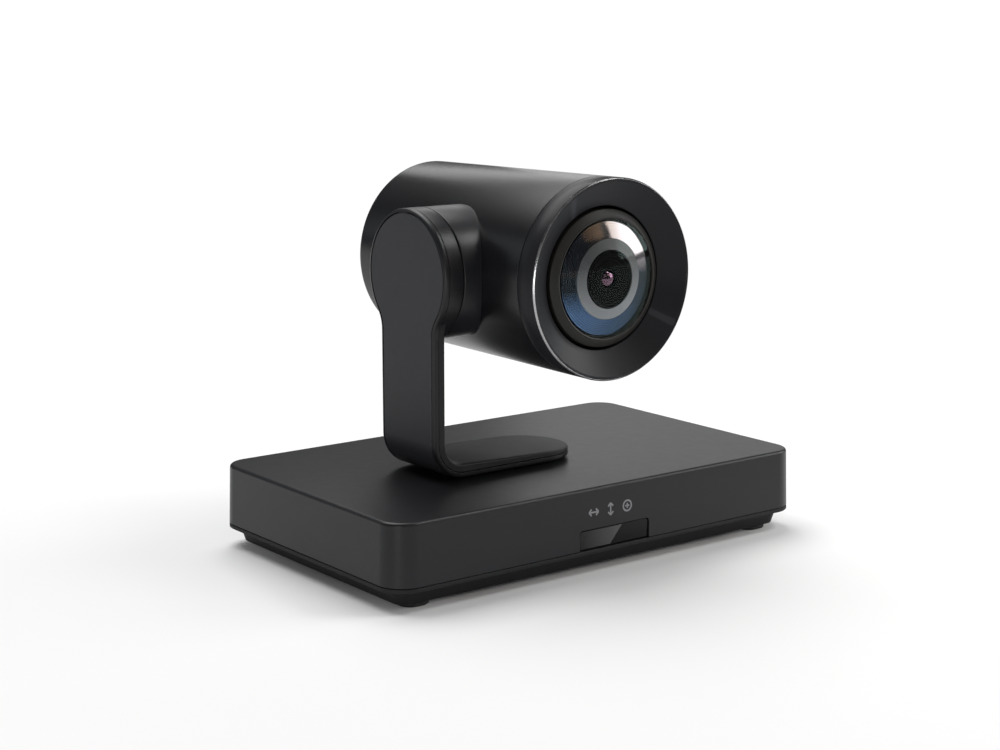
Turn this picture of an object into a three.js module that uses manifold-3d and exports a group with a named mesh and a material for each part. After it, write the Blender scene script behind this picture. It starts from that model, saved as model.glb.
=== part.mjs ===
// PTZ conference camera: a low base, an L-shaped arm that pans on it, and a barrel-shaped head that tilts
// on the arm. Millimetres, +Z up. The origin is the centre of the base's footprint on the table.
// The lens looks along -Y, +X is to the right seen from behind the camera, and the arm is on the -X side.
import * as THREE from 'three';
import { mergeVertices } from 'three/addons/utils/BufferGeometryUtils.js';
import Module from 'manifold-3d';

const wasm = await Module();
wasm.setup();

// ---- driving dimensions -------------------------------------------------------------------------
const BASE_TOP = 39.8;
const BASE_WIDTH = 238.1;
const BASE_DEPTH = 146.5;
const BASE_CORNER = 12;
const BASE_DRAFT = 0.031;
const BASE_EDGE = 1.5;
const PARTING_Z = 11.5;
const LIP_Z = 9.35;
const PLINTH_Z = 2.2;
const WALL = 2.5;
const TOP_WALL = 3;
const GAP = 0.3;

const PAN_Y = -5;
const HEAD_Z = 133.2;

const ARM_OUTER_X = -65.1;
const ARM_THICKNESS = 7;
const ARM_HALF_WIDTH = 21;
const ARM_BOTTOM_Z = BASE_TOP + 0.9;
const ARM_BEND = 17;
const ARM_DISC = 30.4;
const ARM_NECK = 14;
const ARM_SHELL = 2.6;
const ARM_COVER = 1.3;
const ARM_RIM = 2.1;
const ARM_DISC_INNER_X = -55;
const TONGUE_END = 24.2;
const TONGUE_TIP_Z = BASE_TOP + 5.6;

const BARREL_FRONT_Y = -72.9;
const SEAM_Y = -61.2;
const BARREL_REAR_Y = 66.3;
const BARREL_REAR_EDGE = 3;
const BARREL_FRONT_R = 45.6;
const BARREL_REAR_R = 43.85;
const BARREL_WALL = 2.2;
const HUB_R = 30.3;
const HUB_START_X = -54.4;

const BEZEL_INNER_R = 32.1;
const BEZEL_INNER_Y = -65.3;
const GLASS_R = 26.5;
const GLASS_EDGE_Y = -67;
const GLASS_SPHERE = 62;
const BAFFLE_R = 12.5;

const ROUND = 48;
const SMALL_ROUND = 24;
const TINY_ROUND = 12;
const CORNER_STEPS = 4;
const MERGE_TOLERANCE = 1e-4;

// ---- solids: joining and cutting ------------------------------------------------------------------
function toSolid(geometry) {
  const bare = new THREE.BufferGeometry();
  bare.setAttribute('position', geometry.attributes.position.clone());
  if (geometry.index) {
    bare.setIndex(geometry.index.clone());
  }
  const merged = mergeVertices(bare, MERGE_TOLERANCE);
  const source = merged.index.array;
  const triangles = [];
  for (let i = 0; i < source.length; i += 3) {
    const [a, b, c] = [source[i], source[i + 1], source[i + 2]];
    if (a !== b && b !== c && c !== a) {
      triangles.push(a, b, c);
    }
  }
  const solid = makeSolid(merged, triangles);
  if (solid.volume() > 0) {
    return solid;
  }
  return makeSolid(merged, triangles.slice().reverse());
}

function makeSolid(merged, triangles) {
  return new wasm.Manifold(new wasm.Mesh({
    numProp: 3,
    vertProperties: new Float32Array(merged.attributes.position.array),
    triVerts: new Uint32Array(triangles),
  }));
}

function toGeometry(solid) {
  const mesh = solid.getMesh();
  const geometry = new THREE.BufferGeometry();
  geometry.setAttribute('position', new THREE.BufferAttribute(new Float32Array(mesh.vertProperties), 3));
  geometry.setIndex(new THREE.BufferAttribute(new Uint32Array(mesh.triVerts), 1));
  geometry.computeVertexNormals();
  return geometry;
}

function join(first, ...others) {
  return others.reduce((sum, other) => sum.add(other), first);
}

function cut(first, ...others) {
  return others.reduce((rest, other) => rest.subtract(other), first);
}

// ---- solids: basic shapes --------------------------------------------------------------------------
function box(low, high) {
  const size = high.map((value, i) => value - low[i]);
  const geometry = new THREE.BoxGeometry(...size);
  geometry.translate(...low.map((value, i) => value + size[i] / 2));
  return toSolid(geometry);
}

// A lathe about the Y axis. Each profile point is [radius, distance along the axis].
function latheGeometry(profile, segments) {
  const points = profile.map(([radius, along]) => new THREE.Vector2(radius, along));
  return new THREE.LatheGeometry(points, segments);
}

function latheAlongY(profile, x, z, segments = ROUND) {
  const geometry = latheGeometry(profile, segments);
  geometry.translate(x, 0, z);
  return toSolid(geometry);
}

function latheAlongX(profile, y, z, segments = ROUND) {
  const geometry = latheGeometry(profile, segments);
  geometry.rotateZ(-Math.PI / 2);
  geometry.translate(0, y, z);
  return toSolid(geometry);
}

function latheAlongZ(profile, x, y, segments = ROUND) {
  const geometry = latheGeometry(profile, segments);
  geometry.rotateX(Math.PI / 2);
  geometry.translate(x, y, 0);
  return toSolid(geometry);
}

function rod(radius, start, end) {
  return [[0, start], [radius, start], [radius, end], [0, end]];
}

function ring(inner, outer, start, end) {
  return [[inner, start], [outer, start], [outer, end], [inner, end], [inner, start]];
}

// An outline in the XY plane, extruded from z = low to z = high.
function prismZ(shape, low, high, curveSegments = CORNER_STEPS) {
  const depth = high - low;
  const geometry = new THREE.ExtrudeGeometry(shape, { depth, bevelEnabled: false, curveSegments });
  geometry.translate(0, 0, low);
  return toSolid(geometry);
}

// An outline in the XZ plane, extruded from y = low to y = high.
function prismY(shape, low, high, curveSegments = CORNER_STEPS) {
  const depth = high - low;
  const geometry = new THREE.ExtrudeGeometry(shape, { depth, bevelEnabled: false, curveSegments });
  geometry.rotateX(Math.PI / 2);
  geometry.translate(0, high, 0);
  return toSolid(geometry);
}

// An outline in the YZ plane, extruded from x = low to x = high, with an optional rounded start.
function prismX(shape, low, high, curveSegments, rounding = 0) {
  const geometry = new THREE.ExtrudeGeometry(shape, {
    depth: high - low - rounding,
    bevelEnabled: rounding > 0,
    bevelThickness: rounding,
    bevelSize: rounding,
    bevelOffset: -rounding,
    bevelSegments: 2,
    curveSegments,
  });
  const basis = new THREE.Matrix4().makeBasis(
    new THREE.Vector3(0, 1, 0),
    new THREE.Vector3(0, 0, 1),
    new THREE.Vector3(1, 0, 0),
  );
  geometry.applyMatrix4(basis);
  geometry.translate(low + rounding, 0, 0);
  return toSolid(geometry);
}

function roundedRect(x0, y0, x1, y1, radius) {
  const shape = new THREE.Shape();
  shape.moveTo(x0 + radius, y0);
  shape.absarc(x1 - radius, y0 + radius, radius, -Math.PI / 2, 0, false);
  shape.absarc(x1 - radius, y1 - radius, radius, 0, Math.PI / 2, false);
  shape.absarc(x0 + radius, y1 - radius, radius, Math.PI / 2, Math.PI, false);
  shape.absarc(x0 + radius, y0 + radius, radius, Math.PI, 1.5 * Math.PI, false);
  shape.closePath();
  return shape;
}

// A stack of rounded rectangles, each { width, depth, radius, z }, joined into one solid.
function loft(sections) {
  const positions = [];
  const count = 4 * (CORNER_STEPS + 1);
  for (const { width, depth, radius, z } of sections) {
    for (let corner = 0; corner < 4; corner += 1) {
      const signX = corner === 0 || corner === 3 ? 1 : -1;
      const signY = corner < 2 ? 1 : -1;
      for (let step = 0; step <= CORNER_STEPS; step += 1) {
        const angle = (corner + step / CORNER_STEPS) * Math.PI / 2;
        positions.push(
          signX * (width / 2 - radius) + radius * Math.cos(angle),
          signY * (depth / 2 - radius) + radius * Math.sin(angle),
          z,
        );
      }
    }
  }
  const indices = [];
  for (let level = 0; level + 1 < sections.length; level += 1) {
    for (let i = 0; i < count; i += 1) {
      const a = level * count + i;
      const b = level * count + (i + 1) % count;
      indices.push(a, b, b + count);
      indices.push(a, b + count, a + count);
    }
  }
  const top = (sections.length - 1) * count;
  for (let i = 1; i + 1 < count; i += 1) {
    indices.push(0, i + 1, i);
    indices.push(top, top + i, top + i + 1);
  }
  const geometry = new THREE.BufferGeometry();
  geometry.setAttribute('position', new THREE.Float32BufferAttribute(positions, 3));
  geometry.setIndex(indices);
  return toSolid(geometry);
}

// An involute spur gear outline about the origin. One tooth is centred on the angle `phase`.
function gearShape(teeth, toothModule, bore, phase) {
  const PRESSURE = THREE.MathUtils.degToRad(20);
  const BACKLASH = 0.16;
  const FLANK_STEPS = 1;
  const ADDENDUM = 0.9;
  const DEDENDUM = 1.25;
  const ROOT_WIDENING = 0.1;
  const pitch = teeth * toothModule / 2;
  const base = pitch * Math.cos(PRESSURE);
  const tip = pitch + ADDENDUM * toothModule;
  const root = pitch - DEDENDUM * toothModule;
  const start = Math.max(base, root);
  const involute = (radius) => {
    const roll = Math.sqrt(Math.max((radius / base) ** 2 - 1, 0));
    return roll - Math.atan(roll);
  };
  const halfAtPitch = Math.PI / (2 * teeth) - BACKLASH / (2 * pitch);
  const points = [];
  const add = (radius, angle) => {
    points.push(new THREE.Vector2(radius * Math.cos(angle), radius * Math.sin(angle)));
  };
  for (let tooth = 0; tooth < teeth; tooth += 1) {
    const centre = phase + tooth * 2 * Math.PI / teeth;
    const halfAt = (radius) => halfAtPitch + involute(pitch) - involute(radius);
    add(root, centre - halfAt(start) - ROOT_WIDENING * halfAtPitch);
    for (let step = 0; step <= FLANK_STEPS; step += 1) {
      const radius = start + (tip - start) * step / FLANK_STEPS;
      add(radius, centre - halfAt(radius));
    }
    for (let step = FLANK_STEPS; step >= 0; step -= 1) {
      const radius = start + (tip - start) * step / FLANK_STEPS;
      add(radius, centre + halfAt(radius));
    }
    add(root, centre + halfAt(start) + ROOT_WIDENING * halfAtPitch);
  }
  const shape = new THREE.Shape(points);
  if (bore > 0) {
    const hole = new THREE.Path();
    hole.absarc(0, 0, bore, 0, 2 * Math.PI, true);
    shape.holes.push(hole);
  }
  return shape;
}

// ---- materials -------------------------------------------------------------------------------------
const finish = (color, roughness, metalness) => ({ color, roughness, metalness });
const SHELL_BLACK = finish(0x2b2c2e, 0.55, 0);
const COVER_BLACK = finish(0x333437, 0.6, 0);
const PLINTH_BLACK = finish(0x1d1e20, 0.7, 0);
const RUBBER = finish(0x18181a, 0.9, 0);
const SMOKED = finish(0x0c0c0e, 0.15, 0);
const BOARD_GREEN = finish(0x1f5a36, 0.6, 0);
const STEEL = finish(0xa9acb0, 0.35, 1);
const ALUMINIUM = finish(0xb9bcc1, 0.4, 1);
const BRASS = finish(0xc8a24a, 0.35, 1);
const ACETAL = finish(0xe6e2d6, 0.5, 0);
const GLASS = finish(0x8fa6c8, 0.05, 0);
const LENS_BLACK = finish(0x101114, 0.35, 0);
const CHIP_BLACK = finish(0x141416, 0.5, 0);
const LAMP = finish(0xd8e8d0, 0.3, 0);
const RIBBON = finish(0xc07a2a, 0.5, 0);

const camera = new THREE.Group();

function addPart(name, solid, look) {
  const mesh = new THREE.Mesh(toGeometry(solid), new THREE.MeshStandardMaterial(look));
  mesh.name = name;
  camera.add(mesh);
}

// ---- base: housing, plate, feet --------------------------------------------------------------------
function baseSection(z, inset) {
  const spread = 2 * BASE_DRAFT * (BASE_TOP - z);
  return {
    width: BASE_WIDTH + spread - 2 * inset,
    depth: BASE_DEPTH + spread - 2 * inset,
    radius: BASE_CORNER + spread / 2 - inset,
    z,
  };
}

const WINDOW = { x0: -19.3, x1: 22.2, top: 20.9, corner: 1.6, recess: 0.5, thickness: 2 };
const LOCK_SLOT = { x0: -94, x1: -87, z0: 17, z1: 20, corner: 1.4 };
const PAN_HOLE_R = 15;
const SCREW_X = 84;
const SCREW_Y = 56;
const SCREW_HEAD_Z = 2.5;
const SCREW_HEAD_R = 2.8;
const SCREW_HEAD_HEIGHT = 1.7;
const SCREW_SHANK_R = 1.4;
const SCREW_TIP_Z = 22;
const SCREW_BOSS_R = 4;
const REAR_FACE_Y = 73.2;
const PORT_MARGIN = 0.4;

// Rear sockets: centre x, outer size and the body's depth behind the rear face.
const PORTS = {
  dc_jack: { x: 82, width: 9, height: 11, depth: 13 },
  usb_port: { x: 48, width: 12, height: 12.6, depth: 16 },
  hdmi_port: { x: 14, width: 15.2, height: 6.4, depth: 11 },
  lan_port: { x: -22, width: 16, height: 13.4, depth: 18 },
  serial_port: { x: -58, width: 14, height: 13, depth: 13 },
};
const BOARD_Z = 12.2;
const BOARD_THICKNESS = 1.6;
const PORT_Z = BOARD_Z + BOARD_THICKNESS + GAP;

function signedCorners(x, y) {
  return [[x, y], [-x, y], [-x, -y], [x, -y]];
}

function windowShape(grow) {
  const shape = new THREE.Shape();
  const { x0, x1, top, corner } = WINDOW;
  shape.moveTo(x0 - grow, PARTING_Z - grow);
  shape.lineTo(x1 + grow, PARTING_Z - grow);
  shape.absarc(x1 + grow - corner, top + grow - corner, corner, 0, Math.PI / 2, false);
  shape.absarc(x0 - grow + corner, top + grow - corner, corner, Math.PI / 2, Math.PI, false);
  shape.closePath();
  return shape;
}

function addBaseHousing() {
  const outer = loft([
    baseSection(PARTING_Z, 0),
    baseSection(BASE_TOP - BASE_EDGE, 0),
    baseSection(BASE_TOP - 0.3 * BASE_EDGE, 0.3 * BASE_EDGE),
    baseSection(BASE_TOP, BASE_EDGE),
  ]);
  const cavity = loft([
    baseSection(PARTING_Z - 1, WALL),
    baseSection(BASE_TOP - TOP_WALL, WALL),
  ]);
  let housing = cut(outer, cavity);
  housing = cut(housing, prismY(windowShape(0), -BASE_DEPTH, -BASE_DEPTH / 2 + 2 * WALL));
  for (const { x, width, height } of Object.values(PORTS)) {
    housing = cut(housing, box(
      [x - width / 2 - PORT_MARGIN, REAR_FACE_Y - 2 * WALL, PORT_Z - PORT_MARGIN],
      [x + width / 2 + PORT_MARGIN, BASE_DEPTH, PORT_Z + height + PORT_MARGIN],
    ));
  }
  const lockSlot = roundedRect(LOCK_SLOT.x0, LOCK_SLOT.z0, LOCK_SLOT.x1, LOCK_SLOT.z1, LOCK_SLOT.corner);
  housing = cut(housing, prismY(lockSlot, BASE_DEPTH / 2 - 2 * WALL, BASE_DEPTH));
  for (const [x, y] of signedCorners(SCREW_X, SCREW_Y)) {
    const boss = latheAlongZ(rod(SCREW_BOSS_R, PARTING_Z + GAP, BASE_TOP - TOP_WALL + 1), x, y, TINY_ROUND);
    const pilot = latheAlongZ(rod(SCREW_SHANK_R + GAP, PARTING_Z, SCREW_TIP_Z + 1), x, y, TINY_ROUND);
    housing = cut(join(housing, boss), pilot);
  }
  const panHole = latheAlongZ(rod(PAN_HOLE_R, BASE_TOP - 2 * TOP_WALL, BASE_TOP + 1), 0, PAN_Y, SMALL_ROUND);
  addPart('base_housing', cut(housing, panHole), SHELL_BLACK);
}

const PLINTH_INSET_TOP = 5;
const PLINTH_INSET_BOTTOM = 7.8;
const INSERT_R = 6;
const INSERT_BORE_R = 3.15;
const INSERT_TOP_Z = 10.5;
const SEAT_R = 16;
const SEAT_Z = 1.7;

function addBasePlate() {
  const lip = loft([baseSection(LIP_Z, 0), baseSection(PARTING_Z - GAP, 0)]);
  const plinth = loft([
    baseSection(PLINTH_Z, PLINTH_INSET_BOTTOM),
    baseSection(LIP_Z + 1, PLINTH_INSET_TOP),
  ]);
  const tray = loft([
    baseSection(PLINTH_Z + 2, PLINTH_INSET_BOTTOM + 2),
    baseSection(PARTING_Z + 1, PLINTH_INSET_TOP + 2),
  ]);
  const seat = latheAlongZ(rod(SEAT_R, SEAT_Z, PLINTH_Z + 1), 0, PAN_Y, SMALL_ROUND);
  const sleeve = latheAlongZ(rod(INSERT_R + WALL, PLINTH_Z, INSERT_TOP_Z), 0, PAN_Y, SMALL_ROUND);
  const bore = latheAlongZ(rod(INSERT_R + GAP, SEAT_Z - 1, INSERT_TOP_Z + 1), 0, PAN_Y, SMALL_ROUND);
  let plate = cut(join(cut(join(lip, plinth), tray), seat, sleeve), bore);
  const headHoleR = SCREW_HEAD_R + 0.4;
  const shankHoleR = SCREW_SHANK_R + 0.4;
  const shoulderZ = SCREW_HEAD_Z + SCREW_HEAD_HEIGHT + GAP;
  for (const [x, y] of signedCorners(SCREW_X, SCREW_Y)) {
    const boss = latheAlongZ(rod(headHoleR + 1.8, PLINTH_Z, PARTING_Z - GAP), x, y, TINY_ROUND);
    const hole = latheAlongZ([
      [0, PLINTH_Z - 1], [headHoleR, PLINTH_Z - 1], [headHoleR, shoulderZ],
      [shankHoleR, shoulderZ], [shankHoleR, PARTING_Z + 1], [0, PARTING_Z + 1],
    ], x, y, TINY_ROUND);
    plate = cut(join(plate, boss), hole);
  }
  addPart('base_plate', plate, PLINTH_BLACK);
  const insert = ring(INSERT_BORE_R, INSERT_R, SEAT_Z + GAP, INSERT_TOP_Z);
  addPart('tripod_insert', latheAlongZ(insert, 0, PAN_Y, SMALL_ROUND), BRASS);
}

const STRIP = { inner: 94, outer: 108.6, front: -66, back: 54, corner: 6, edge: 0.5 };

function addFeet() {
  const { inner, outer, front, back, corner, edge } = STRIP;
  const size = { width: outer - inner, depth: back - front, radius: corner };
  const foot = loft([
    { width: size.width - 2 * edge, depth: size.depth - 2 * edge, radius: corner - edge, z: 0 },
    { ...size, z: edge },
    { ...size, z: PLINTH_Z - 0.1 },
  ]);
  for (const [name, side] of [['foot_strip_left', -1], ['foot_strip_right', 1]]) {
    addPart(name, foot.translate([side * (inner + outer) / 2, (front + back) / 2, 0]), RUBBER);
  }
}

function addCaseScrews() {
  signedCorners(SCREW_X, SCREW_Y).forEach(([x, y], i) => {
    const shoulderZ = SCREW_HEAD_Z + SCREW_HEAD_HEIGHT;
    const profile = [
      [0, SCREW_HEAD_Z], [SCREW_HEAD_R, SCREW_HEAD_Z], [SCREW_HEAD_R, shoulderZ],
      [SCREW_SHANK_R, shoulderZ], [SCREW_SHANK_R, SCREW_TIP_Z], [0, SCREW_TIP_Z],
    ];
    const hexagonSides = 6;
    const driver = latheAlongZ(rod(1.2, SCREW_HEAD_Z - 1, SCREW_HEAD_Z + 1), x, y, hexagonSides);
    addPart(`case_screw_${i + 1}`, cut(latheAlongZ(profile, x, y, TINY_ROUND), driver), STEEL);
  });
}

// ---- base: window, board and sockets ----------------------------------------------------------------
function addWindow() {
  const wallY = -BASE_DEPTH / 2 - BASE_DRAFT * (BASE_TOP - WINDOW.top);
  const y0 = wallY + WINDOW.recess;
  addPart('ir_window', prismY(windowShape(-GAP), y0, y0 + WINDOW.thickness), SMOKED);
  const boardY = -66;
  addPart('ir_board', box([-15, boardY, 13], [18, boardY + 1.2, 24]), BOARD_GREEN);
  addPart('ir_receiver', receiverSolid(), CHIP_BLACK);
  addPart('status_led', box([10, -69.2, 15.2], [13, boardY - 0.1, 17.2]), LAMP);
}

// The infrared receiver: a block with a bulging lens on its front.
function receiverSolid() {
  const block = box([-9, -68.6, 13.6], [-3, -66.1, 19.6]);
  const lens = latheAlongY(rod(2.2, -70.2, -68), -6, 16.6, TINY_ROUND);
  return join(block, lens);
}

function addBoard() {
  const board = prismZ(roundedRect(-100, 12, 100, 70, 3), BOARD_Z, BOARD_Z + BOARD_THICKNESS);
  const holes = signedCorners(SCREW_X, SCREW_Y)
    .filter(([, y]) => y > 0)
    .map(([x, y]) => latheAlongZ(rod(5.5, BOARD_Z - 1, BOARD_Z + 3), x, y, TINY_ROUND));
  addPart('main_board', cut(board, ...holes), BOARD_GREEN);
  const FINS = 7;
  const finPitch = 6;
  const finWidth = 2;
  const sink = { x: -78, front: 24, back: 46, plate: 3, height: 14 };
  const sinkEnd = sink.x + (FINS - 1) * finPitch + finWidth;
  let solid = box([sink.x, sink.front, PORT_Z], [sinkEnd, sink.back, PORT_Z + sink.plate]);
  for (let i = 0; i < FINS; i += 1) {
    const x = sink.x + i * finPitch;
    solid = join(solid, box([x, sink.front, PORT_Z + 1], [x + finWidth, sink.back, PORT_Z + sink.height]));
  }
  addPart('heat_sink', solid, ALUMINIUM);
}

function portBody({ x, width, height, depth }) {
  return box([x - width / 2, REAR_FACE_Y - depth, PORT_Z], [x + width / 2, REAR_FACE_Y, PORT_Z + height]);
}

function addPorts() {
  const outside = REAR_FACE_Y + 1;
  const { dc_jack: dc, usb_port: usb, hdmi_port: hdmi, lan_port: lan, serial_port: serial } = PORTS;

  const dcZ = PORT_Z + dc.height / 2;
  const dcSocket = latheAlongY(rod(3.2, REAR_FACE_Y - 9.5, outside), dc.x, dcZ, SMALL_ROUND);
  const dcPin = latheAlongY(rod(1.05, REAR_FACE_Y - 11, REAR_FACE_Y - 1), dc.x, dcZ, TINY_ROUND);
  addPart('dc_jack', join(cut(portBody(dc), dcSocket), dcPin), CHIP_BLACK);

  const usbLow = PORT_Z + 2;
  const usbSocket = new THREE.Shape();
  usbSocket.moveTo(usb.x - 4.3, usbLow);
  usbSocket.lineTo(usb.x + 4.3, usbLow);
  usbSocket.lineTo(usb.x + 4.3, usbLow + 6);
  usbSocket.lineTo(usb.x + 2.6, usbLow + 7.8);
  usbSocket.lineTo(usb.x - 2.6, usbLow + 7.8);
  usbSocket.lineTo(usb.x - 4.3, usbLow + 6);
  usbSocket.closePath();
  const usbTongue = box(
    [usb.x - 2.8, REAR_FACE_Y - 14, usbLow + 2.3], [usb.x + 2.8, REAR_FACE_Y - 1.5, usbLow + 5.4],
  );
  const usbShell = cut(portBody(usb), prismY(usbSocket, REAR_FACE_Y - 13, outside));
  addPart('usb_port', join(usbShell, usbTongue), STEEL);

  const hdmiLow = PORT_Z + 0.8;
  const hdmiSocket = new THREE.Shape();
  hdmiSocket.moveTo(hdmi.x - 5.4, hdmiLow);
  hdmiSocket.lineTo(hdmi.x + 5.4, hdmiLow);
  hdmiSocket.lineTo(hdmi.x + 7, hdmiLow + 1.7);
  hdmiSocket.lineTo(hdmi.x + 7, hdmiLow + 4.6);
  hdmiSocket.lineTo(hdmi.x - 7, hdmiLow + 4.6);
  hdmiSocket.lineTo(hdmi.x - 7, hdmiLow + 1.7);
  hdmiSocket.closePath();
  const hdmiTongue = box(
    [hdmi.x - 5.6, REAR_FACE_Y - 10, hdmiLow + 2], [hdmi.x + 5.6, REAR_FACE_Y - 1, hdmiLow + 3.2],
  );
  const hdmiShell = cut(portBody(hdmi), prismY(hdmiSocket, REAR_FACE_Y - 9, outside));
  addPart('hdmi_port', join(hdmiShell, hdmiTongue), STEEL);

  const lanLow = PORT_Z + 2.2;
  const lanSocket = box([lan.x - 5.9, REAR_FACE_Y - 14, lanLow], [lan.x + 5.9, outside, lanLow + 6.8]);
  const lanLatch = box([lan.x - 3, REAR_FACE_Y - 14, lanLow + 6], [lan.x + 3, outside, lanLow + 9.2]);
  addPart('lan_port', cut(portBody(lan), lanSocket, lanLatch), STEEL);

  const serialZ = PORT_Z + serial.height / 2;
  const serialSocket = latheAlongY(rod(4.6, REAR_FACE_Y - 8, outside), serial.x, serialZ, SMALL_ROUND);
  addPart('serial_port', cut(portBody(serial), serialSocket), CHIP_BLACK);
}

// ---- pan drive ---------------------------------------------------------------------------------------
const SHAFT_R = 9;
const SHAFT_BORE = 6.5;
const SHAFT_LOW_Z = 15;
const BUSH_R = 14;
const DECK_Z = 31;
const DECK_THICKNESS = 1.6;
const PAN_GEAR = { teeth: 48, toothModule: 1, low: 25.4, high: 29.4 };
const PAN_PINION = { teeth: 14, low: 25, high: 29.8 };
const PAN_CENTRES = (PAN_GEAR.teeth + PAN_PINION.teeth) * PAN_GEAR.toothModule / 2;
const MOTOR_SHAFT_R = 1.5;
const PINION_BORE = MOTOR_SHAFT_R + 0.2;
const BUSH_CLEARANCE = 0.35;

function placedGear(teeth, toothModule, bore, phase, low, high, x, y) {
  const geometry = new THREE.ExtrudeGeometry(gearShape(teeth, toothModule, bore, phase), {
    depth: high - low,
    bevelEnabled: false,
    curveSegments: TINY_ROUND,
  });
  geometry.translate(x, y, low);
  return toSolid(geometry);
}

function addPanDrive() {
  const deck = prismZ(roundedRect(-46, -44, 52, 34, 5), DECK_Z, DECK_Z + DECK_THICKNESS);
  const deckHole = latheAlongZ(rod(BUSH_R + GAP, DECK_Z - 1, DECK_Z + 3), 0, PAN_Y, SMALL_ROUND);
  const pillars = [[-42, -40], [48, -40], [-42, 8], [48, 8]]
    .map(([x, y]) => latheAlongZ(rod(2.5, PLINTH_Z + 2 + GAP, DECK_Z + 0.5), x, y, TINY_ROUND));
  addPart('pan_deck', cut(join(deck, ...pillars), deckHole), STEEL);

  const bushBore = SHAFT_R + BUSH_CLEARANCE;
  const flangeZ = DECK_Z + DECK_THICKNESS + GAP;
  const bushProfile = [
    [bushBore, 30.2], [BUSH_R, 30.2], [BUSH_R, flangeZ], [17, flangeZ],
    [17, 35], [bushBore, 35], [bushBore, 30.2],
  ];
  addPart('pan_bush', latheAlongZ(bushProfile, 0, PAN_Y, SMALL_ROUND), ACETAL);

  const motorProfile = [
    [0, 4.5], [14, 4.5], [14, 22.5], [5, 22.5], [5, 24],
    [MOTOR_SHAFT_R, 24], [MOTOR_SHAFT_R, 30.5], [0, 30.5],
  ];
  addPart('pan_motor', latheAlongZ(motorProfile, PAN_CENTRES, PAN_Y, SMALL_ROUND), STEEL);
  const phase = Math.PI + Math.PI / PAN_PINION.teeth;
  addPart('pan_pinion', placedGear(
    PAN_PINION.teeth, PAN_GEAR.toothModule, PINION_BORE, phase,
    PAN_PINION.low, PAN_PINION.high, PAN_CENTRES, PAN_Y,
  ), BRASS);

  const shaftProfile = [
    [SHAFT_BORE, SHAFT_LOW_Z], [SHAFT_R, SHAFT_LOW_Z], [SHAFT_R, 36.2], [13.5, 36.2],
    [13.5, ARM_BOTTOM_Z - GAP], [SHAFT_BORE, ARM_BOTTOM_Z - GAP], [SHAFT_BORE, SHAFT_LOW_Z],
  ];
  addPart('pan_shaft', latheAlongZ(shaftProfile, 0, PAN_Y, SMALL_ROUND), ALUMINIUM);
  addPart('pan_gear', placedGear(
    PAN_GEAR.teeth, PAN_GEAR.toothModule, SHAFT_R + GAP, 0, PAN_GEAR.low, PAN_GEAR.high, 0, PAN_Y,
  ), ACETAL);
}

// ---- arm -------------------------------------------------------------------------------------------
const BEND_X = ARM_OUTER_X + ARM_BEND;
const BEND_Z = ARM_BOTTOM_Z + ARM_BEND;
const ARM_TOP_Z = HEAD_Z + ARM_DISC + 5;

// The arm's L-shaped section in the XZ plane, between two depths below the outer skin.
function armSection(from, to, endX, tipZ) {
  const shape = new THREE.Shape();
  shape.moveTo(ARM_OUTER_X + from, ARM_TOP_Z);
  shape.lineTo(ARM_OUTER_X + from, BEND_Z);
  shape.absarc(BEND_X, BEND_Z, ARM_BEND - from, Math.PI, 1.5 * Math.PI, false);
  shape.lineTo(endX, ARM_BOTTOM_Z + from);
  shape.lineTo(endX, tipZ);
  shape.absarc(BEND_X, BEND_Z, ARM_BEND - to, 1.5 * Math.PI, Math.PI, true);
  shape.lineTo(ARM_OUTER_X + to, ARM_TOP_Z);
  shape.closePath();
  return shape;
}

function armLayer(from, to, halfWidth, endX = 40, tipZ = ARM_BOTTOM_Z + to) {
  const BEND_STEPS = 7;
  return prismY(armSection(from, to, endX, tipZ), PAN_Y - halfWidth, PAN_Y + halfWidth, BEND_STEPS);
}

// The arm's outline in the YZ plane: a disc that narrows into a straight upright, inset by `inset`.
function armOutline(inset) {
  const disc = ARM_DISC - inset;
  const half = ARM_HALF_WIDTH - inset;
  const neck = ARM_NECK + inset;
  const drop = Math.sqrt((disc + neck) ** 2 - (half + neck) ** 2);
  const neckZ = HEAD_Z - drop;
  const turn = Math.atan2(drop, half + neck);
  const shape = new THREE.Shape();
  shape.moveTo(PAN_Y - half, ARM_BOTTOM_Z - 5);
  shape.lineTo(PAN_Y + half, ARM_BOTTOM_Z - 5);
  shape.absarc(PAN_Y + half + neck, neckZ, neck, Math.PI, Math.PI - turn, true);
  shape.absarc(PAN_Y, HEAD_Z, disc, -turn, Math.PI + turn, false);
  shape.absarc(PAN_Y - half - neck, neckZ, neck, turn, 0, true);
  shape.closePath();
  return shape;
}

function tongueOutline(inset) {
  const half = ARM_HALF_WIDTH - inset;
  const centreX = TONGUE_END - ARM_HALF_WIDTH;
  const shape = new THREE.Shape();
  shape.moveTo(BEND_X - 2, PAN_Y - half);
  shape.lineTo(centreX, PAN_Y - half);
  shape.absarc(centreX, PAN_Y, half, -Math.PI / 2, Math.PI / 2, false);
  shape.lineTo(BEND_X - 2, PAN_Y + half);
  shape.closePath();
  return shape;
}

function armEnvelope(inset, rounding = 0) {
  const OUTLINE_STEPS = 10;
  const upright = prismX(armOutline(inset), ARM_OUTER_X, BEND_X, OUTLINE_STEPS, rounding);
  const tongue = prismZ(tongueOutline(inset), ARM_BOTTOM_Z - 1, ARM_BOTTOM_Z + 12, OUTLINE_STEPS);
  return join(upright, tongue);
}

const CABLE_DEPTH = { from: 3.2, to: 4.8 };

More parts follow.
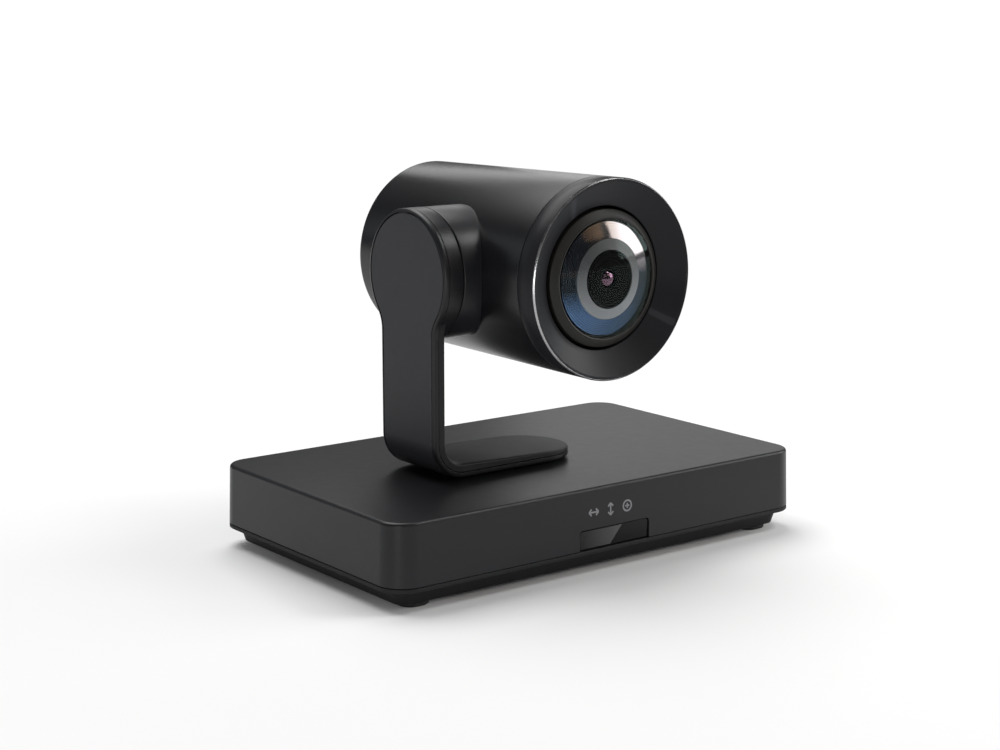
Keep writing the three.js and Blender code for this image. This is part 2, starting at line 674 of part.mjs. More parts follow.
function addArm() {
  const skinWidth = 40;
  const EDGE_ROUNDING = 1.6;
  const shellLayer = armLayer(0, ARM_SHELL, skinWidth).intersect(armEnvelope(0, EDGE_ROUNDING));
  const pocket = armLayer(-1, ARM_COVER + GAP, skinWidth, -35).intersect(join(
    armEnvelope(ARM_RIM - GAP),
    box([ARM_OUTER_X - 2, PAN_Y - ARM_HALF_WIDTH + ARM_RIM - GAP, ARM_BOTTOM_Z - 2],
      [-35, PAN_Y + ARM_HALF_WIDTH - ARM_RIM + GAP, BEND_Z]),
  ));
  const holeTop = ARM_BOTTOM_Z + ARM_SHELL + 1;
  const cableHole = latheAlongZ(rod(SHAFT_BORE, ARM_BOTTOM_Z - 1, holeTop), 0, PAN_Y, TINY_ROUND);
  addPart('arm_shell', cut(shellLayer, pocket, cableHole), SHELL_BLACK);

  const cover = armLayer(0, ARM_COVER, skinWidth, -36).intersect(armEnvelope(ARM_RIM));
  addPart('arm_cover', cover, COVER_BLACK);

  const frameLayer = armLayer(ARM_SHELL + GAP, ARM_THICKNESS, skinWidth, 40, TONGUE_TIP_Z)
    .intersect(armEnvelope(0));
  const bossStart = ARM_OUTER_X + ARM_THICKNESS - 0.5;
  const boss = latheAlongX(rod(ARM_DISC - 0.2, bossStart, ARM_DISC_INNER_X), PAN_Y, HEAD_Z);
  const shaftHole = latheAlongX(rod(TILT_SHAFT_R + GAP, -64, -50), PAN_Y, HEAD_Z, SMALL_ROUND);
  const channel = armLayer(ARM_SHELL - 1, CABLE_DEPTH.to, 6, SHAFT_BORE)
    .intersect(box([-80, PAN_Y - 6, 0], [SHAFT_BORE, PAN_Y + 6, HEAD_Z]));
  addPart('arm_frame', cut(join(frameLayer, boss), shaftHole, channel), SHELL_BLACK);

  const ribbonHalf = 4;
  const along = armLayer(CABLE_DEPTH.from, CABLE_DEPTH.to - GAP, ribbonHalf, 2)
    .intersect(box([-80, PAN_Y - ribbonHalf, 0], [2, PAN_Y + ribbonHalf, HEAD_Z + 3]));
  const down = box(
    [0, PAN_Y - ribbonHalf, SHAFT_LOW_Z - 1],
    [1.3, PAN_Y + ribbonHalf, ARM_BOTTOM_Z + CABLE_DEPTH.from + 0.5],
  );
  addPart('arm_ribbon_cable', join(along, down), RIBBON);
}

// ---- tilt drive ------------------------------------------------------------------------------------
const TILT_SHAFT_R = 8;
const TILT_SHAFT_BORE = 5.6;
const TILT_GEAR = { teeth: 36, toothModule: 1, low: -37, high: -33.4 };
const TILT_PINION = { teeth: 14, low: -37.4, high: -33 };
const TILT_CENTRES = (TILT_GEAR.teeth + TILT_PINION.teeth) * TILT_GEAR.toothModule / 2;

// A gear with its axis along X, from x = low to x = high, about (y, z).
function gearAlongX(shape, low, high, y, z) {
  const geometry = new THREE.ExtrudeGeometry(shape, {
    depth: high - low,
    bevelEnabled: false,
    curveSegments: TINY_ROUND,
  });
  const basis = new THREE.Matrix4().makeBasis(
    new THREE.Vector3(0, 1, 0),
    new THREE.Vector3(0, 0, 1),
    new THREE.Vector3(1, 0, 0),
  );
  geometry.applyMatrix4(basis);
  geometry.translate(low, y, z);
  return toSolid(geometry);
}

function addTiltDrive() {
  const shaftProfile = [
    [TILT_SHAFT_BORE, -60], [TILT_SHAFT_R, -60], [TILT_SHAFT_R, -31.5], [TILT_SHAFT_BORE, -31.5],
    [TILT_SHAFT_BORE, -60],
  ];
  addPart('tilt_shaft', latheAlongX(shaftProfile, PAN_Y, HEAD_Z, SMALL_ROUND), STEEL);
  addPart('tilt_gear', gearAlongX(
    gearShape(TILT_GEAR.teeth, TILT_GEAR.toothModule, TILT_SHAFT_R + GAP, 0),
    TILT_GEAR.low, TILT_GEAR.high, PAN_Y, HEAD_Z,
  ), ACETAL);
  const bush = ring(TILT_SHAFT_R + BUSH_CLEARANCE, 12, -54.2, -50.4);
  addPart('tilt_bush', latheAlongX(bush, PAN_Y, HEAD_Z, SMALL_ROUND), ACETAL);
  const phase = Math.PI + Math.PI / TILT_PINION.teeth;
  addPart('tilt_pinion', gearAlongX(
    gearShape(TILT_PINION.teeth, TILT_GEAR.toothModule, PINION_BORE, phase),
    TILT_PINION.low, TILT_PINION.high, PAN_Y + TILT_CENTRES, HEAD_Z,
  ), BRASS);
  const motorProfile = [
    [0, -38], [MOTOR_SHAFT_R, -38], [MOTOR_SHAFT_R, -32], [4, -32],
    [4, -30.5], [10, -30.5], [10, -14], [0, -14],
  ];
  addPart('tilt_motor', latheAlongX(motorProfile, PAN_Y + TILT_CENTRES, HEAD_Z, SMALL_ROUND), STEEL);
}

// ---- head ------------------------------------------------------------------------------------------
function barrelRadius(y) {
  const share = (BARREL_REAR_Y - y) / (BARREL_REAR_Y - BARREL_FRONT_Y);
  return BARREL_REAR_R + (BARREL_FRONT_R - BARREL_REAR_R) * share;
}

function arcProfile(centreR, centreY, radius, fromDegrees, toDegrees, steps) {
  return Array.from({ length: steps + 1 }, (_, i) => {
    const angle = THREE.MathUtils.degToRad(fromDegrees + (toDegrees - fromDegrees) * i / steps);
    return [centreR + radius * Math.cos(angle), centreY + radius * Math.sin(angle)];
  });
}

const REAR_PANEL_R = 38.5;

function addHeadShell() {
  const rearR = barrelRadius(BARREL_REAR_Y);
  const profile = [
    [barrelRadius(SEAM_Y) - BARREL_WALL, SEAM_Y],
    [barrelRadius(SEAM_Y), SEAM_Y],
    ...arcProfile(rearR - BARREL_REAR_EDGE, BARREL_REAR_Y - BARREL_REAR_EDGE, BARREL_REAR_EDGE, 0, 90, 3),
    [REAR_PANEL_R, BARREL_REAR_Y],
    [REAR_PANEL_R, BARREL_REAR_Y - 2],
    [REAR_PANEL_R - 2.5, BARREL_REAR_Y - 2],
    [REAR_PANEL_R - 2.5, BARREL_REAR_Y - 4],
    [rearR - BARREL_WALL, BARREL_REAR_Y - 4],
    [barrelRadius(SEAM_Y) - BARREL_WALL, SEAM_Y],
  ];
  const hubHole = latheAlongX(rod(24, -60, -20), PAN_Y, HEAD_Z, SMALL_ROUND);
  addPart('head_shell', cut(latheAlongY(profile, 0, HEAD_Z), hubHole), SHELL_BLACK);

  const capR = REAR_PANEL_R - GAP;
  const cap = [
    [0, BARREL_REAR_Y - 1.7], [capR, BARREL_REAR_Y - 1.7], [capR, BARREL_REAR_Y - 0.4],
    [capR - 0.5, BARREL_REAR_Y], [0, BARREL_REAR_Y],
  ];
  addPart('rear_cap', latheAlongY(cap, 0, HEAD_Z), SHELL_BLACK);

  const hubBody = latheAlongX([
    [12.3, HUB_START_X], [HUB_R - 0.6, HUB_START_X], [HUB_R, HUB_START_X + 0.6], [HUB_R, -20],
    [HUB_R - WALL, -20], [HUB_R - WALL, -50.2], [12.3, -50.2], [12.3, HUB_START_X],
  ], PAN_Y, HEAD_Z);
  const barrelSpace = latheAlongY([
    [0, SEAM_Y], [barrelRadius(SEAM_Y) + GAP, SEAM_Y], [rearR + GAP, BARREL_REAR_Y], [0, BARREL_REAR_Y],
  ], 0, HEAD_Z);
  addPart('tilt_hub', cut(hubBody, barrelSpace), SHELL_BLACK);
}

function addFrontBezel() {
  const back = SEAM_Y - GAP;
  const profile = [
    [BEZEL_INNER_R + 4, back],
    [barrelRadius(back), back],
    [barrelRadius(BARREL_FRONT_Y + 0.7), BARREL_FRONT_Y + 0.7],
    [BARREL_FRONT_R - 0.6, BARREL_FRONT_Y],
    [BARREL_FRONT_R - 1.1, BARREL_FRONT_Y + 0.2],
    [BEZEL_INNER_R, BEZEL_INNER_Y],
    [BEZEL_INNER_R, BEZEL_INNER_Y + 2],
    [BEZEL_INNER_R + 4, back],
  ];
  addPart('front_bezel', latheAlongY(profile, 0, HEAD_Z), SHELL_BLACK);
}

// Distance of the front glass's outer surface along Y at a radius.
function domeY(radius, thickness = 0) {
  const sphere = GLASS_SPHERE - thickness;
  const centre = GLASS_EDGE_Y + Math.sqrt(GLASS_SPHERE ** 2 - GLASS_R ** 2);
  return centre - Math.sqrt(sphere ** 2 - radius ** 2);
}

const BLOCK_R = 20;
const BLOCK_FRONT_Y = -58;
const BLOCK_REAR_Y = 2;

function addLensFront() {
  const cell = [
    [GLASS_R + 0.1, GLASS_EDGE_Y + 0.1], [31.2, -65.6], [31.2, -60.2],
    [BLOCK_R + 1, -50], [BLOCK_R + 1, -46],
    [BLOCK_R + GAP, -46], [BLOCK_R + GAP, BLOCK_FRONT_Y - 0.5], [24.5, BLOCK_FRONT_Y - 4],
    [24.5, GLASS_EDGE_Y + 3.2], [GLASS_R + 0.1, GLASS_EDGE_Y + 3.2], [GLASS_R + 0.1, GLASS_EDGE_Y + 0.1],
  ];
  addPart('lens_front_cell', latheAlongY(cell, 0, HEAD_Z), LENS_BLACK);

  const THICKNESS = 1.4;
  const STEPS = 4;
  const radii = Array.from({ length: STEPS + 1 }, (_, i) => (GLASS_R - GAP) * i / STEPS);
  const outer = radii.map((radius) => [radius, domeY(radius)]);
  const inner = radii.map((radius) => [radius, domeY(radius, THICKNESS)]).reverse();
  const rim = [[GLASS_R - GAP, GLASS_EDGE_Y + 2.9], [GLASS_R - 1.8, GLASS_EDGE_Y + 2.9]];
  addPart('front_glass', latheAlongY([...outer, ...rim, ...inner.slice(1)], 0, HEAD_Z), GLASS);

  const baffle = [
    [7, -62], [9.2, -69.4], [BAFFLE_R - 1, -70.2], [BAFFLE_R, -69.6], [BAFFLE_R, -66.5],
    [23.6, -63.4], [23.6, -62], [7, -62],
  ];
  addPart('lens_baffle', latheAlongY(baffle, 0, HEAD_Z), LENS_BLACK);
  addPart('second_lens', latheAlongY([
    [0, -62.8], [3.5, -62.4], [6.6, -61.4], [6.6, -59.4], [0, -59.4],
  ], 0, HEAD_Z, SMALL_ROUND), GLASS);
}

const ROD_X = 15.6;
const ROD_R = 1.2;

// A lens carrier: a ring with two lugs that slide on the guide rods.
function carrier(y0, y1, innerR) {
  const lug = { from: 11.8, to: 17.6, half: 2.6 };
  let result = latheAlongY(ring(innerR, 12.6, y0, y1), 0, HEAD_Z, SMALL_ROUND);
  for (const side of [-1, 1]) {
    const [low, high] = side < 0 ? [-lug.to, -lug.from] : [lug.from, lug.to];
    result = join(result, box([low, y0, HEAD_Z - lug.half], [high, y1, HEAD_Z + lug.half]));
    result = cut(result, latheAlongY(rod(ROD_R + 0.25, y0 - 1, y1 + 1), side * ROD_X, HEAD_Z, TINY_ROUND));
  }
  return result;
}

function bulgedLens(y0, y1, radius, bulge) {
  return [
    [0, y0 - bulge], [radius / 2, y0 - 0.7 * bulge], [radius, y0],
    [radius, y1], [radius / 2, y1 + 0.7 * bulge], [0, y1 + bulge],
  ];
}

function addLensBlock() {
  const housing = [
    [BLOCK_R - 1.6, BLOCK_FRONT_Y], [BLOCK_R, BLOCK_FRONT_Y], [BLOCK_R, BLOCK_REAR_Y], [8, BLOCK_REAR_Y],
    [8, BLOCK_REAR_Y - 2], [BLOCK_R - 1.6, BLOCK_REAR_Y - 2], [BLOCK_R - 1.6, BLOCK_FRONT_Y],
  ];
  addPart('lens_housing', latheAlongY(housing, 0, HEAD_Z, SMALL_ROUND), LENS_BLACK);
  for (const [name, side] of [['guide_rod_left', -1], ['guide_rod_right', 1]]) {
    const guide = rod(ROD_R, BLOCK_FRONT_Y + 2, BLOCK_REAR_Y - 2.3);
    addPart(name, latheAlongY(guide, side * ROD_X, HEAD_Z, TINY_ROUND), STEEL);
  }
  addPart('zoom_carrier', carrier(-50, -42, 9.6), LENS_BLACK);
  addPart('zoom_lens', latheAlongY(bulgedLens(-48, -45, 9.3, 1.4), 0, HEAD_Z, SMALL_ROUND), GLASS);
  addPart('focus_carrier', carrier(-16, -10, 8.4), LENS_BLACK);
  addPart('focus_lens', latheAlongY(bulgedLens(-14, -12, 8.1, 1), 0, HEAD_Z, SMALL_ROUND), GLASS);

  const coil = (y0, y1) => box([-7, y0, HEAD_Z + BLOCK_R - 6], [7, y1, HEAD_Z + BLOCK_R - 3.4]);
  addPart('zoom_drive_coil', coil(-52, -24), BRASS);
  addPart('focus_drive_coil', coil(-19, -3), BRASS);

  addPart('ir_cut_filter', box([-6, 2.4, HEAD_Z - 5], [6, 3, HEAD_Z + 5]), GLASS);
  addPart('image_sensor', box([-7, 3.3, HEAD_Z - 6], [7, 4.6, HEAD_Z + 6]), CHIP_BLACK);
  addPart('sensor_board', box([-19, 4.9, HEAD_Z - 16], [19, 6.3, HEAD_Z + 16]), BOARD_GREEN);
  addPart('head_board', latheAlongY(rod(35, 46, 47.6), 0, HEAD_Z, SMALL_ROUND), BOARD_GREEN);
}

addBaseHousing();
addBasePlate();
addFeet();
addCaseScrews();
addWindow();
addBoard();
addPorts();
addPanDrive();
addArm();
addTiltDrive();
addHeadShell();
addFrontBezel();
addLensFront();
addLensBlock();

export default camera;
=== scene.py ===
"""Looks for the PTZ conference camera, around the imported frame: shells, lens, materials, studio and camera.

Lengths are metres (MM turns millimetres into metres). +Z is up and the lens looks along -Y.
"""
import math

import bmesh
import bpy
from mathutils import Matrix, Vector


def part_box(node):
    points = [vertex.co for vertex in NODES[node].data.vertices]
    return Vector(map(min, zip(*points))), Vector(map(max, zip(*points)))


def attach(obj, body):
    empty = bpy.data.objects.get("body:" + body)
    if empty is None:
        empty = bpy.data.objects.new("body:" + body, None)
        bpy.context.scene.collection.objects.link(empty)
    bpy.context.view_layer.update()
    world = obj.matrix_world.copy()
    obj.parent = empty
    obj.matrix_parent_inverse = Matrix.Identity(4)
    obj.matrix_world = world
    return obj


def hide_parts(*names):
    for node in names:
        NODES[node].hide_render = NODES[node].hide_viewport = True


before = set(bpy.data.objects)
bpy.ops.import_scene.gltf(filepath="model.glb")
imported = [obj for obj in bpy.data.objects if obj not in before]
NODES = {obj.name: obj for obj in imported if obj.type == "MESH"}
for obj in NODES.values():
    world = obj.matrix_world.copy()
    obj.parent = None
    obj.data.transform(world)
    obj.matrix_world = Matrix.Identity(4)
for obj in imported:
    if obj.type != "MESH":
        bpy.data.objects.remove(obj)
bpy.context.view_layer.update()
MM = 0.001


# ---- places worked out from the frame ---------------------------------------------------------------
HOUSING_LOW, HOUSING_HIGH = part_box("base_housing")
PLATE_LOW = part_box("base_plate")[0]
WINDOW_LOW, WINDOW_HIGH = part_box("ir_window")
SHELL_LOW, SHELL_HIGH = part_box("arm_shell")
ARM_LOW, ARM_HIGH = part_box("arm_frame")
HUB_LOW, HUB_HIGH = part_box("tilt_hub")
BARREL_LOW, BARREL_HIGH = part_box("head_shell")
BEZEL_LOW, BEZEL_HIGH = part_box("front_bezel")

BASE_TOP = HOUSING_HIGH.z
PARTING_Z = HOUSING_LOW.z
BASE_DRAFT = 0.031
BASE_CORNER = 12 * MM
BASE_HALF_X = HOUSING_HIGH.x - BASE_DRAFT * (BASE_TOP - PARTING_Z)
BASE_HALF_Y = HOUSING_HIGH.y - BASE_DRAFT * (BASE_TOP - PARTING_Z)
TOP_EDGE = 1.5 * MM
WALL = 2.5 * MM
HAIR = 0.3 * MM

PAN_Y = (ARM_LOW.y + ARM_HIGH.y) / 2
HEAD_Z = (BARREL_LOW.z + BARREL_HIGH.z) / 2
HEAD_AXIS = (0, HEAD_Z)
TILT_AXIS = (PAN_Y, HEAD_Z)
HUB_R = (HUB_HIGH.z - HUB_LOW.z) / 2
REAR_Y = BARREL_HIGH.y
SEAM_Y = BARREL_LOW.y
FRONT_Y = BEZEL_LOW.y
FRONT_R = (BEZEL_HIGH.z - BEZEL_LOW.z) / 2
REAR_R = FRONT_R - 1.75 * MM

FINE = 160


# ---- meshes -----------------------------------------------------------------------------------------
def make_object(name, vertices, faces, smooth_angle=38):
    """A mesh object at the origin, shaded smooth but for edges sharper than smooth_angle degrees."""
    mesh = bpy.data.meshes.new(name)
    mesh.from_pydata([tuple(v) for v in vertices], [], faces)
    piece = bpy.data.objects.new(name, mesh)
    bpy.context.scene.collection.objects.link(piece)
    close_up(piece, smooth_angle)
    return piece


def close_up(piece, smooth_angle=38):
    """Merges doubled vertices, turns every face outwards and sets the shading."""
    work = bmesh.new()
    work.from_mesh(piece.data)
    bmesh.ops.remove_doubles(work, verts=work.verts, dist=1e-7)
    bmesh.ops.dissolve_degenerate(work, edges=work.edges, dist=1e-8)
    bmesh.ops.recalc_face_normals(work, faces=work.faces)
    work.to_mesh(piece.data)
    work.free()
    piece.data.shade_smooth()
    piece.data.set_sharp_from_angle(angle=math.radians(smooth_angle))


def apply_modifiers(piece):
    graph = bpy.context.evaluated_depsgraph_get()
    piece.data = bpy.data.meshes.new_from_object(piece.evaluated_get(graph))
    piece.modifiers.clear()


def combine(piece, others, operation="DIFFERENCE"):
    """Cuts the others out of the piece, or joins them to it, and removes them."""
    for other in others:
        step = piece.modifiers.new("combine", "BOOLEAN")
        step.operation = operation
        step.solver = "EXACT"
        step.object = other
    apply_modifiers(piece)
    for other in others:
        bpy.data.objects.remove(other)


def soften(piece, width, segments=2, angle=50):
    """Rounds the edges sharper than angle degrees."""
    bevel = piece.modifiers.new("bevel", "BEVEL")
    bevel.width = width
    bevel.segments = segments
    bevel.limit_method = "ANGLE"
    bevel.angle_limit = math.radians(angle)
    apply_modifiers(piece)
    close_up(piece, 60)
    weigh_normals(piece)


def weigh_normals(piece):
    weighted = piece.modifiers.new("normals", "WEIGHTED_NORMAL")
    weighted.keep_sharp = True
    apply_modifiers(piece)


def skin(rings, closed=False):
    """Vertices and faces of a tube through rings of equal length, capped at both ends unless it closes."""
    vertices = [point for ring in rings for point in ring]
    count = len(rings[0])
    faces = []
    for level in range(len(rings) if closed else len(rings) - 1):
        here = level * count
        after = (level + 1) % len(rings) * count
        for i in range(count):
            j = (i + 1) % count
            faces.append((here + i, here + j, after + j, after + i))
    if not closed:
        faces.append(tuple(range(count)))
        faces.append(tuple(range((len(rings) - 1) * count, len(rings) * count)))
    return vertices, faces


def filleted(points, steps=5):
    """A profile with rounded corners: each point is (a, b), or (a, b, radius) where the corner is round."""
    result = []
    for i, point in enumerate(points):
        corner = Vector(point[:2])
        if len(point) < 3:
            result.append(tuple(corner))
            continue
        before = Vector(points[i - 1][:2]) - corner
        after = Vector(points[i + 1][:2]) - corner
        reach = point[2] / math.tan(before.angle(after) / 2)
        reach = min(reach, 0.49 * before.length, 0.49 * after.length)
        start = corner + before.normalized() * reach
        end = corner + after.normalized() * reach
        for step in range(steps + 1):
            t = step / steps
            result.append(tuple(start * (1 - t) ** 2 + corner * 2 * t * (1 - t) + end * t ** 2))
    return result


def around(radius, along, angle, axis, centre):
    """The point at a radius and an angle about the axis through centre, at a distance along it."""
    a = centre[0] + radius * math.cos(angle)
    b = centre[1] + radius * math.sin(angle)
    return {"X": (along, a, b), "Y": (a, along, b), "Z": (a, b, along)}[axis]


def lathe(name, profile, axis, centre, segments=FINE, smooth_angle=38):
    """Turns a profile of (radius, along) about an axis. It is closed, or starts and ends on the axis."""
    rings = [
        [around(radius, along, 2 * math.pi * i / segments, axis, centre) for i in range(segments)]
        for radius, along in profile
    ]
    vertices, faces = skin(rings, closed=True)
    if profile[0][0] == 0:
        faces = faces[:-segments]
    return make_object(name, vertices, faces, smooth_angle)


def rounded_rect(half_a, half_b, radius, middle=(0, 0), steps=12):
    points = []
    for corner, (sign_a, sign_b) in enumerate(((1, 1), (-1, 1), (-1, -1), (1, -1))):
        for step in range(steps + 1):
            angle = (corner + step / steps) * math.pi / 2
            points.append((
                middle[0] + sign_a * (half_a - radius) + radius * math.cos(angle),
                middle[1] + sign_b * (half_b - radius) + radius * math.sin(angle),
            ))
    return points


def rounded_rim(low, high, edge_low, edge_high, steps=4):
    """(inset, depth) pairs of a slab from low to high with both rims rounded."""
    rim = []
    for step in range(steps + 1):
        angle = math.pi / 2 * step / steps
        rim.append((edge_low * (1 - math.sin(angle)), low + edge_low * (1 - math.cos(angle))))
    for step in range(steps + 1):
        angle = math.pi / 2 * (1 - step / steps)
        rim.append((edge_high * (1 - math.sin(angle)), high - edge_high * (1 - math.cos(angle))))
    return rim


def slab(name, outline, rim, place, smooth_angle=38):
    """A solid skinned through outline(inset) at each (inset, depth); place turns (a, b, depth) to a point."""
    rings = [[place(a, b, depth) for a, b in outline(inset)] for inset, depth in rim]
    vertices, faces = skin(rings)
    return make_object(name, vertices, faces, smooth_angle)


def on_z(a, b, depth):
    return (a, b, depth)


def on_y(a, b, depth):
    return (a, depth, b)


def rect_slab(name, low, high, axis, radius, edge, steps=6):
    """A box between two corners with rounded outline corners and rounded rims along axis Y or Z."""
    i, j, k = (0, 1, 2) if axis == "Z" else (0, 2, 1)
    middle = ((low[i] + high[i]) / 2, (low[j] + high[j]) / 2)
    half_a, half_b = (high[i] - low[i]) / 2, (high[j] - low[j]) / 2

    def outline(inset):
        return rounded_rect(half_a - inset, half_b - inset, max(radius - inset, radius / 9), middle, steps)

    return slab(name, outline, rounded_rim(low[k], high[k], edge, edge), on_z if axis == "Z" else on_y)


# ---- materials --------------------------------------------------------------------------------------
class Nodes:
    """A material's node tree with short ways to add and join nodes."""

    def __init__(self, name):
        self.material = bpy.data.materials.new(name)
        self.material.use_nodes = True
        self.tree = self.material.node_tree
        self.shader = self.tree.nodes["Principled BSDF"]
        self.output = self.tree.nodes["Material Output"]
        self.places = self.add("ShaderNodeTexCoord").outputs["Object"]

    def add(self, kind, **settings):
        node = self.tree.nodes.new(kind)
        for key, value in settings.items():
            if key in node.inputs:
                self.feed(node.inputs[key], value)
            else:
                setattr(node, key, value)
        return node

    def feed(self, socket, value):
        if isinstance(value, bpy.types.NodeSocket):
            self.tree.links.new(value, socket)
        else:
            socket.default_value = value

    def noise(self, scale, detail=2.0, roughness=0.5):
        node = self.add("ShaderNodeTexNoise", Vector=self.places, Scale=scale, Detail=detail,
                        Roughness=roughness)
        return node.outputs["Fac"]

    def spread(self, value, low, high, from_low=0.3, from_high=0.7):
        """The value mapped from its own range to low..high."""
        node = self.add("ShaderNodeMapRange")
        self.feed(node.inputs["Value"], value)
        ends = (("From Min", from_low), ("From Max", from_high), ("To Min", low), ("To Max", high))
        for key, number in ends:
            node.inputs[key].default_value = number
        return node.outputs["Result"]

    def blend(self, factor, first, second):
        node = self.add("ShaderNodeMix", data_type="RGBA")
        self.feed(node.inputs["Factor"], factor)
        colours = [socket for socket in node.inputs if socket.type == "RGBA"]
        self.feed(colours[0], first)
        self.feed(colours[1], second)
        return next(socket for socket in node.outputs if socket.type == "RGBA")

    def bump(self, height, distance, strength=1.0, below=None):
        node = self.add("ShaderNodeBump", Height=height, Strength=strength, Distance=distance)
        if below is not None:
            self.feed(node.inputs["Normal"], below)
        return node.outputs["Normal"]

    def worn_edges(self, low=0.53, high=0.62):
        """1 on convex edges and 0 elsewhere."""
        pointed = self.add("ShaderNodeNewGeometry").outputs["Pointiness"]
        return self.spread(pointed, 0.0, 1.0, low, high)

    def times(self, first, second):
        node = self.add("ShaderNodeMath", operation="MULTIPLY")
        self.feed(node.inputs[0], first)
        self.feed(node.inputs[1], second)
        return node.outputs[0]

    def outward(self, value):
        """The value on the side that faces out, and 0 on the side that faces into the solid."""
        inside = self.add("ShaderNodeNewGeometry").outputs["Backfacing"]
        return self.times(value, self.spread(inside, 1, 0, 0, 1))

    def finish(self, **inputs):
        for key, value in inputs.items():
            self.feed(self.shader.inputs[key.replace("_", " ")], value)
        return self.material


def grey(value, tint=(1.0, 1.0, 1.0)):
    return (value * tint[0], value * tint[1], value * tint[2], 1.0)


COOL = (0.93, 0.96, 1.12)
GLOSS_SWING = 0.012


def moulded(name, tone, roughness, grain=0.45, depth=0.012, wear=0.5, specular=0.3, tint=COOL, painted_light_below=1.0,
             share=1.0):
    """Black moulded plastic: spark-eroded grain, faint mottling in tone and gloss, lighter rubbed edges.

    A factor other than 1 for painted light below makes the side below the lens axis that many times as pale
    as the side above: painted light on that side, not the plastic's own tone.
    A share below 1 weakens the grain and the changes in gloss, for surfaces with long highlights.
    """
    n = Nodes(name)
    mottle = n.noise(26, 3)
    colour = n.blend(n.spread(mottle, 0, 1), grey(tone * 0.95, tint), grey(tone * 1.05, tint))
    if painted_light_below != 1.0:
        # painted light: the side below the lens axis is painted paler than the side above
        height = n.add("ShaderNodeSeparateXYZ", Vector=n.places).outputs["Z"]
        below = n.spread(height, 1, 0, HEAD_Z - 12 * MM, HEAD_Z + 8 * MM)
        colour = n.blend(below, colour, grey(tone * painted_light_below, tint))
    colour = n.blend(n.times(n.worn_edges(), wear), colour, grey(tone * 2.6, tint))
    fine = n.noise(1000 / grain, 2, 0.6)
    coarse = n.noise(400 / grain, 1)
    swing = GLOSS_SWING * share
    gloss = n.spread(n.noise(180, 4, 0.6), roughness - swing, roughness + swing)
    relief = n.bump(fine, depth * MM, 0.8 * share, n.bump(coarse, depth * MM, 0.5 * share))
    return n.finish(Base_Color=colour, Roughness=gloss, Normal=relief, Specular_IOR_Level=specular)


def rubber(name, tone):
    """Matte rubber with a dusty bloom and a pebbled surface."""
    n = Nodes(name)
    dust = n.spread(n.noise(120, 5, 0.7), 0, 0.5, 0.45, 0.8)
    colour = n.blend(dust, grey(tone), grey(tone * 3))
    relief = n.bump(n.noise(1500, 3), 0.03 * MM, 0.8)
    return n.finish(Base_Color=colour, Roughness=n.spread(dust, 0.75, 0.95, 0, 0.5), Normal=relief)


def metal(name, colour, roughness, grain=(1, 1, 30)):
    """Drawn or turned metal: fine lines along one direction, with patches of duller surface."""
    n = Nodes(name)
    stretch = n.add("ShaderNodeMapping", Vector=n.places, Scale=grain)
    lines = n.add("ShaderNodeTexNoise", Vector=stretch.outputs[0], Scale=160.0, Detail=3.0).outputs["Fac"]
    patches = n.noise(90, 4, 0.6)
    rough = n.spread(patches, roughness - 0.06, roughness + 0.12)
    tone = n.blend(n.spread(lines, 0, 1), tuple(c * 0.82 for c in colour) + (1,), tuple(colour) + (1,))
    return n.finish(Base_Color=tone, Metallic=1.0, Roughness=rough, Normal=n.bump(lines, 0.01 * MM, 0.5))


def circuit(name, colour):
    """Solder-masked board: tracks as slightly raised paler lines."""
    n = Nodes(name)
    tracks = n.add("ShaderNodeTexBrick", Vector=n.places, Scale=220.0)
    tracks.inputs["Mortar Size"].default_value = 0.035
    lines = tracks.outputs["Fac"]
    tone = n.blend(lines, tuple(colour) + (1,), tuple(c * 1.9 for c in colour) + (1,))
    weave = n.noise(900, 2)
    relief = n.bump(weave, 0.01 * MM, 0.4, n.bump(lines, 0.03 * MM, 0.6))
    return n.finish(Base_Color=tone, Roughness=n.spread(weave, 0.35, 0.5), Normal=relief)


def glazed(name, tone, roughness):
    """Polished dark plastic: an even gloss with faint smears."""
    n = Nodes(name)
    smears = n.noise(45, 5, 0.7)
    colour = n.blend(n.spread(smears, 0, 1), grey(tone * 0.9), grey(tone * 1.1))
    gloss = n.spread(smears, roughness, roughness + 0.06, 0.45, 0.75)
    ripple = n.bump(n.noise(160, 1), 0.01 * MM, 0.2)
    return n.finish(Base_Color=colour, Roughness=gloss, Normal=ripple, Specular_IOR_Level=0.18)


def plain_resin(name, colour, roughness, translucent=0.0):
    """Pale engineering plastic with faint flow marks."""
    n = Nodes(name)
    flow = n.noise(60, 3)
    tone = n.blend(n.spread(flow, 0, 1), tuple(c * 0.92 for c in colour) + (1,), tuple(colour) + (1,))
    rough = n.spread(flow, roughness - 0.05, roughness + 0.05)
    return n.finish(Base_Color=tone, Roughness=rough, Normal=n.bump(n.noise(1400, 2), 0.008 * MM, 0.6),
                    Subsurface_Weight=translucent, Subsurface_Scale=0.002)


def ribbon(name, colour):
    """Polyimide ribbon cable: copper lines under an amber film."""
    n = Nodes(name)
    lines = n.add("ShaderNodeTexWave", Vector=n.places, Scale=260.0, bands_direction="Y").outputs["Fac"]
    tone = n.blend(lines, tuple(colour) + (1,), tuple(c * 0.55 for c in colour) + (1,))
    return n.finish(Base_Color=tone, Roughness=n.spread(n.noise(80, 3), 0.3, 0.45),
                    Normal=n.bump(lines, 0.03 * MM))


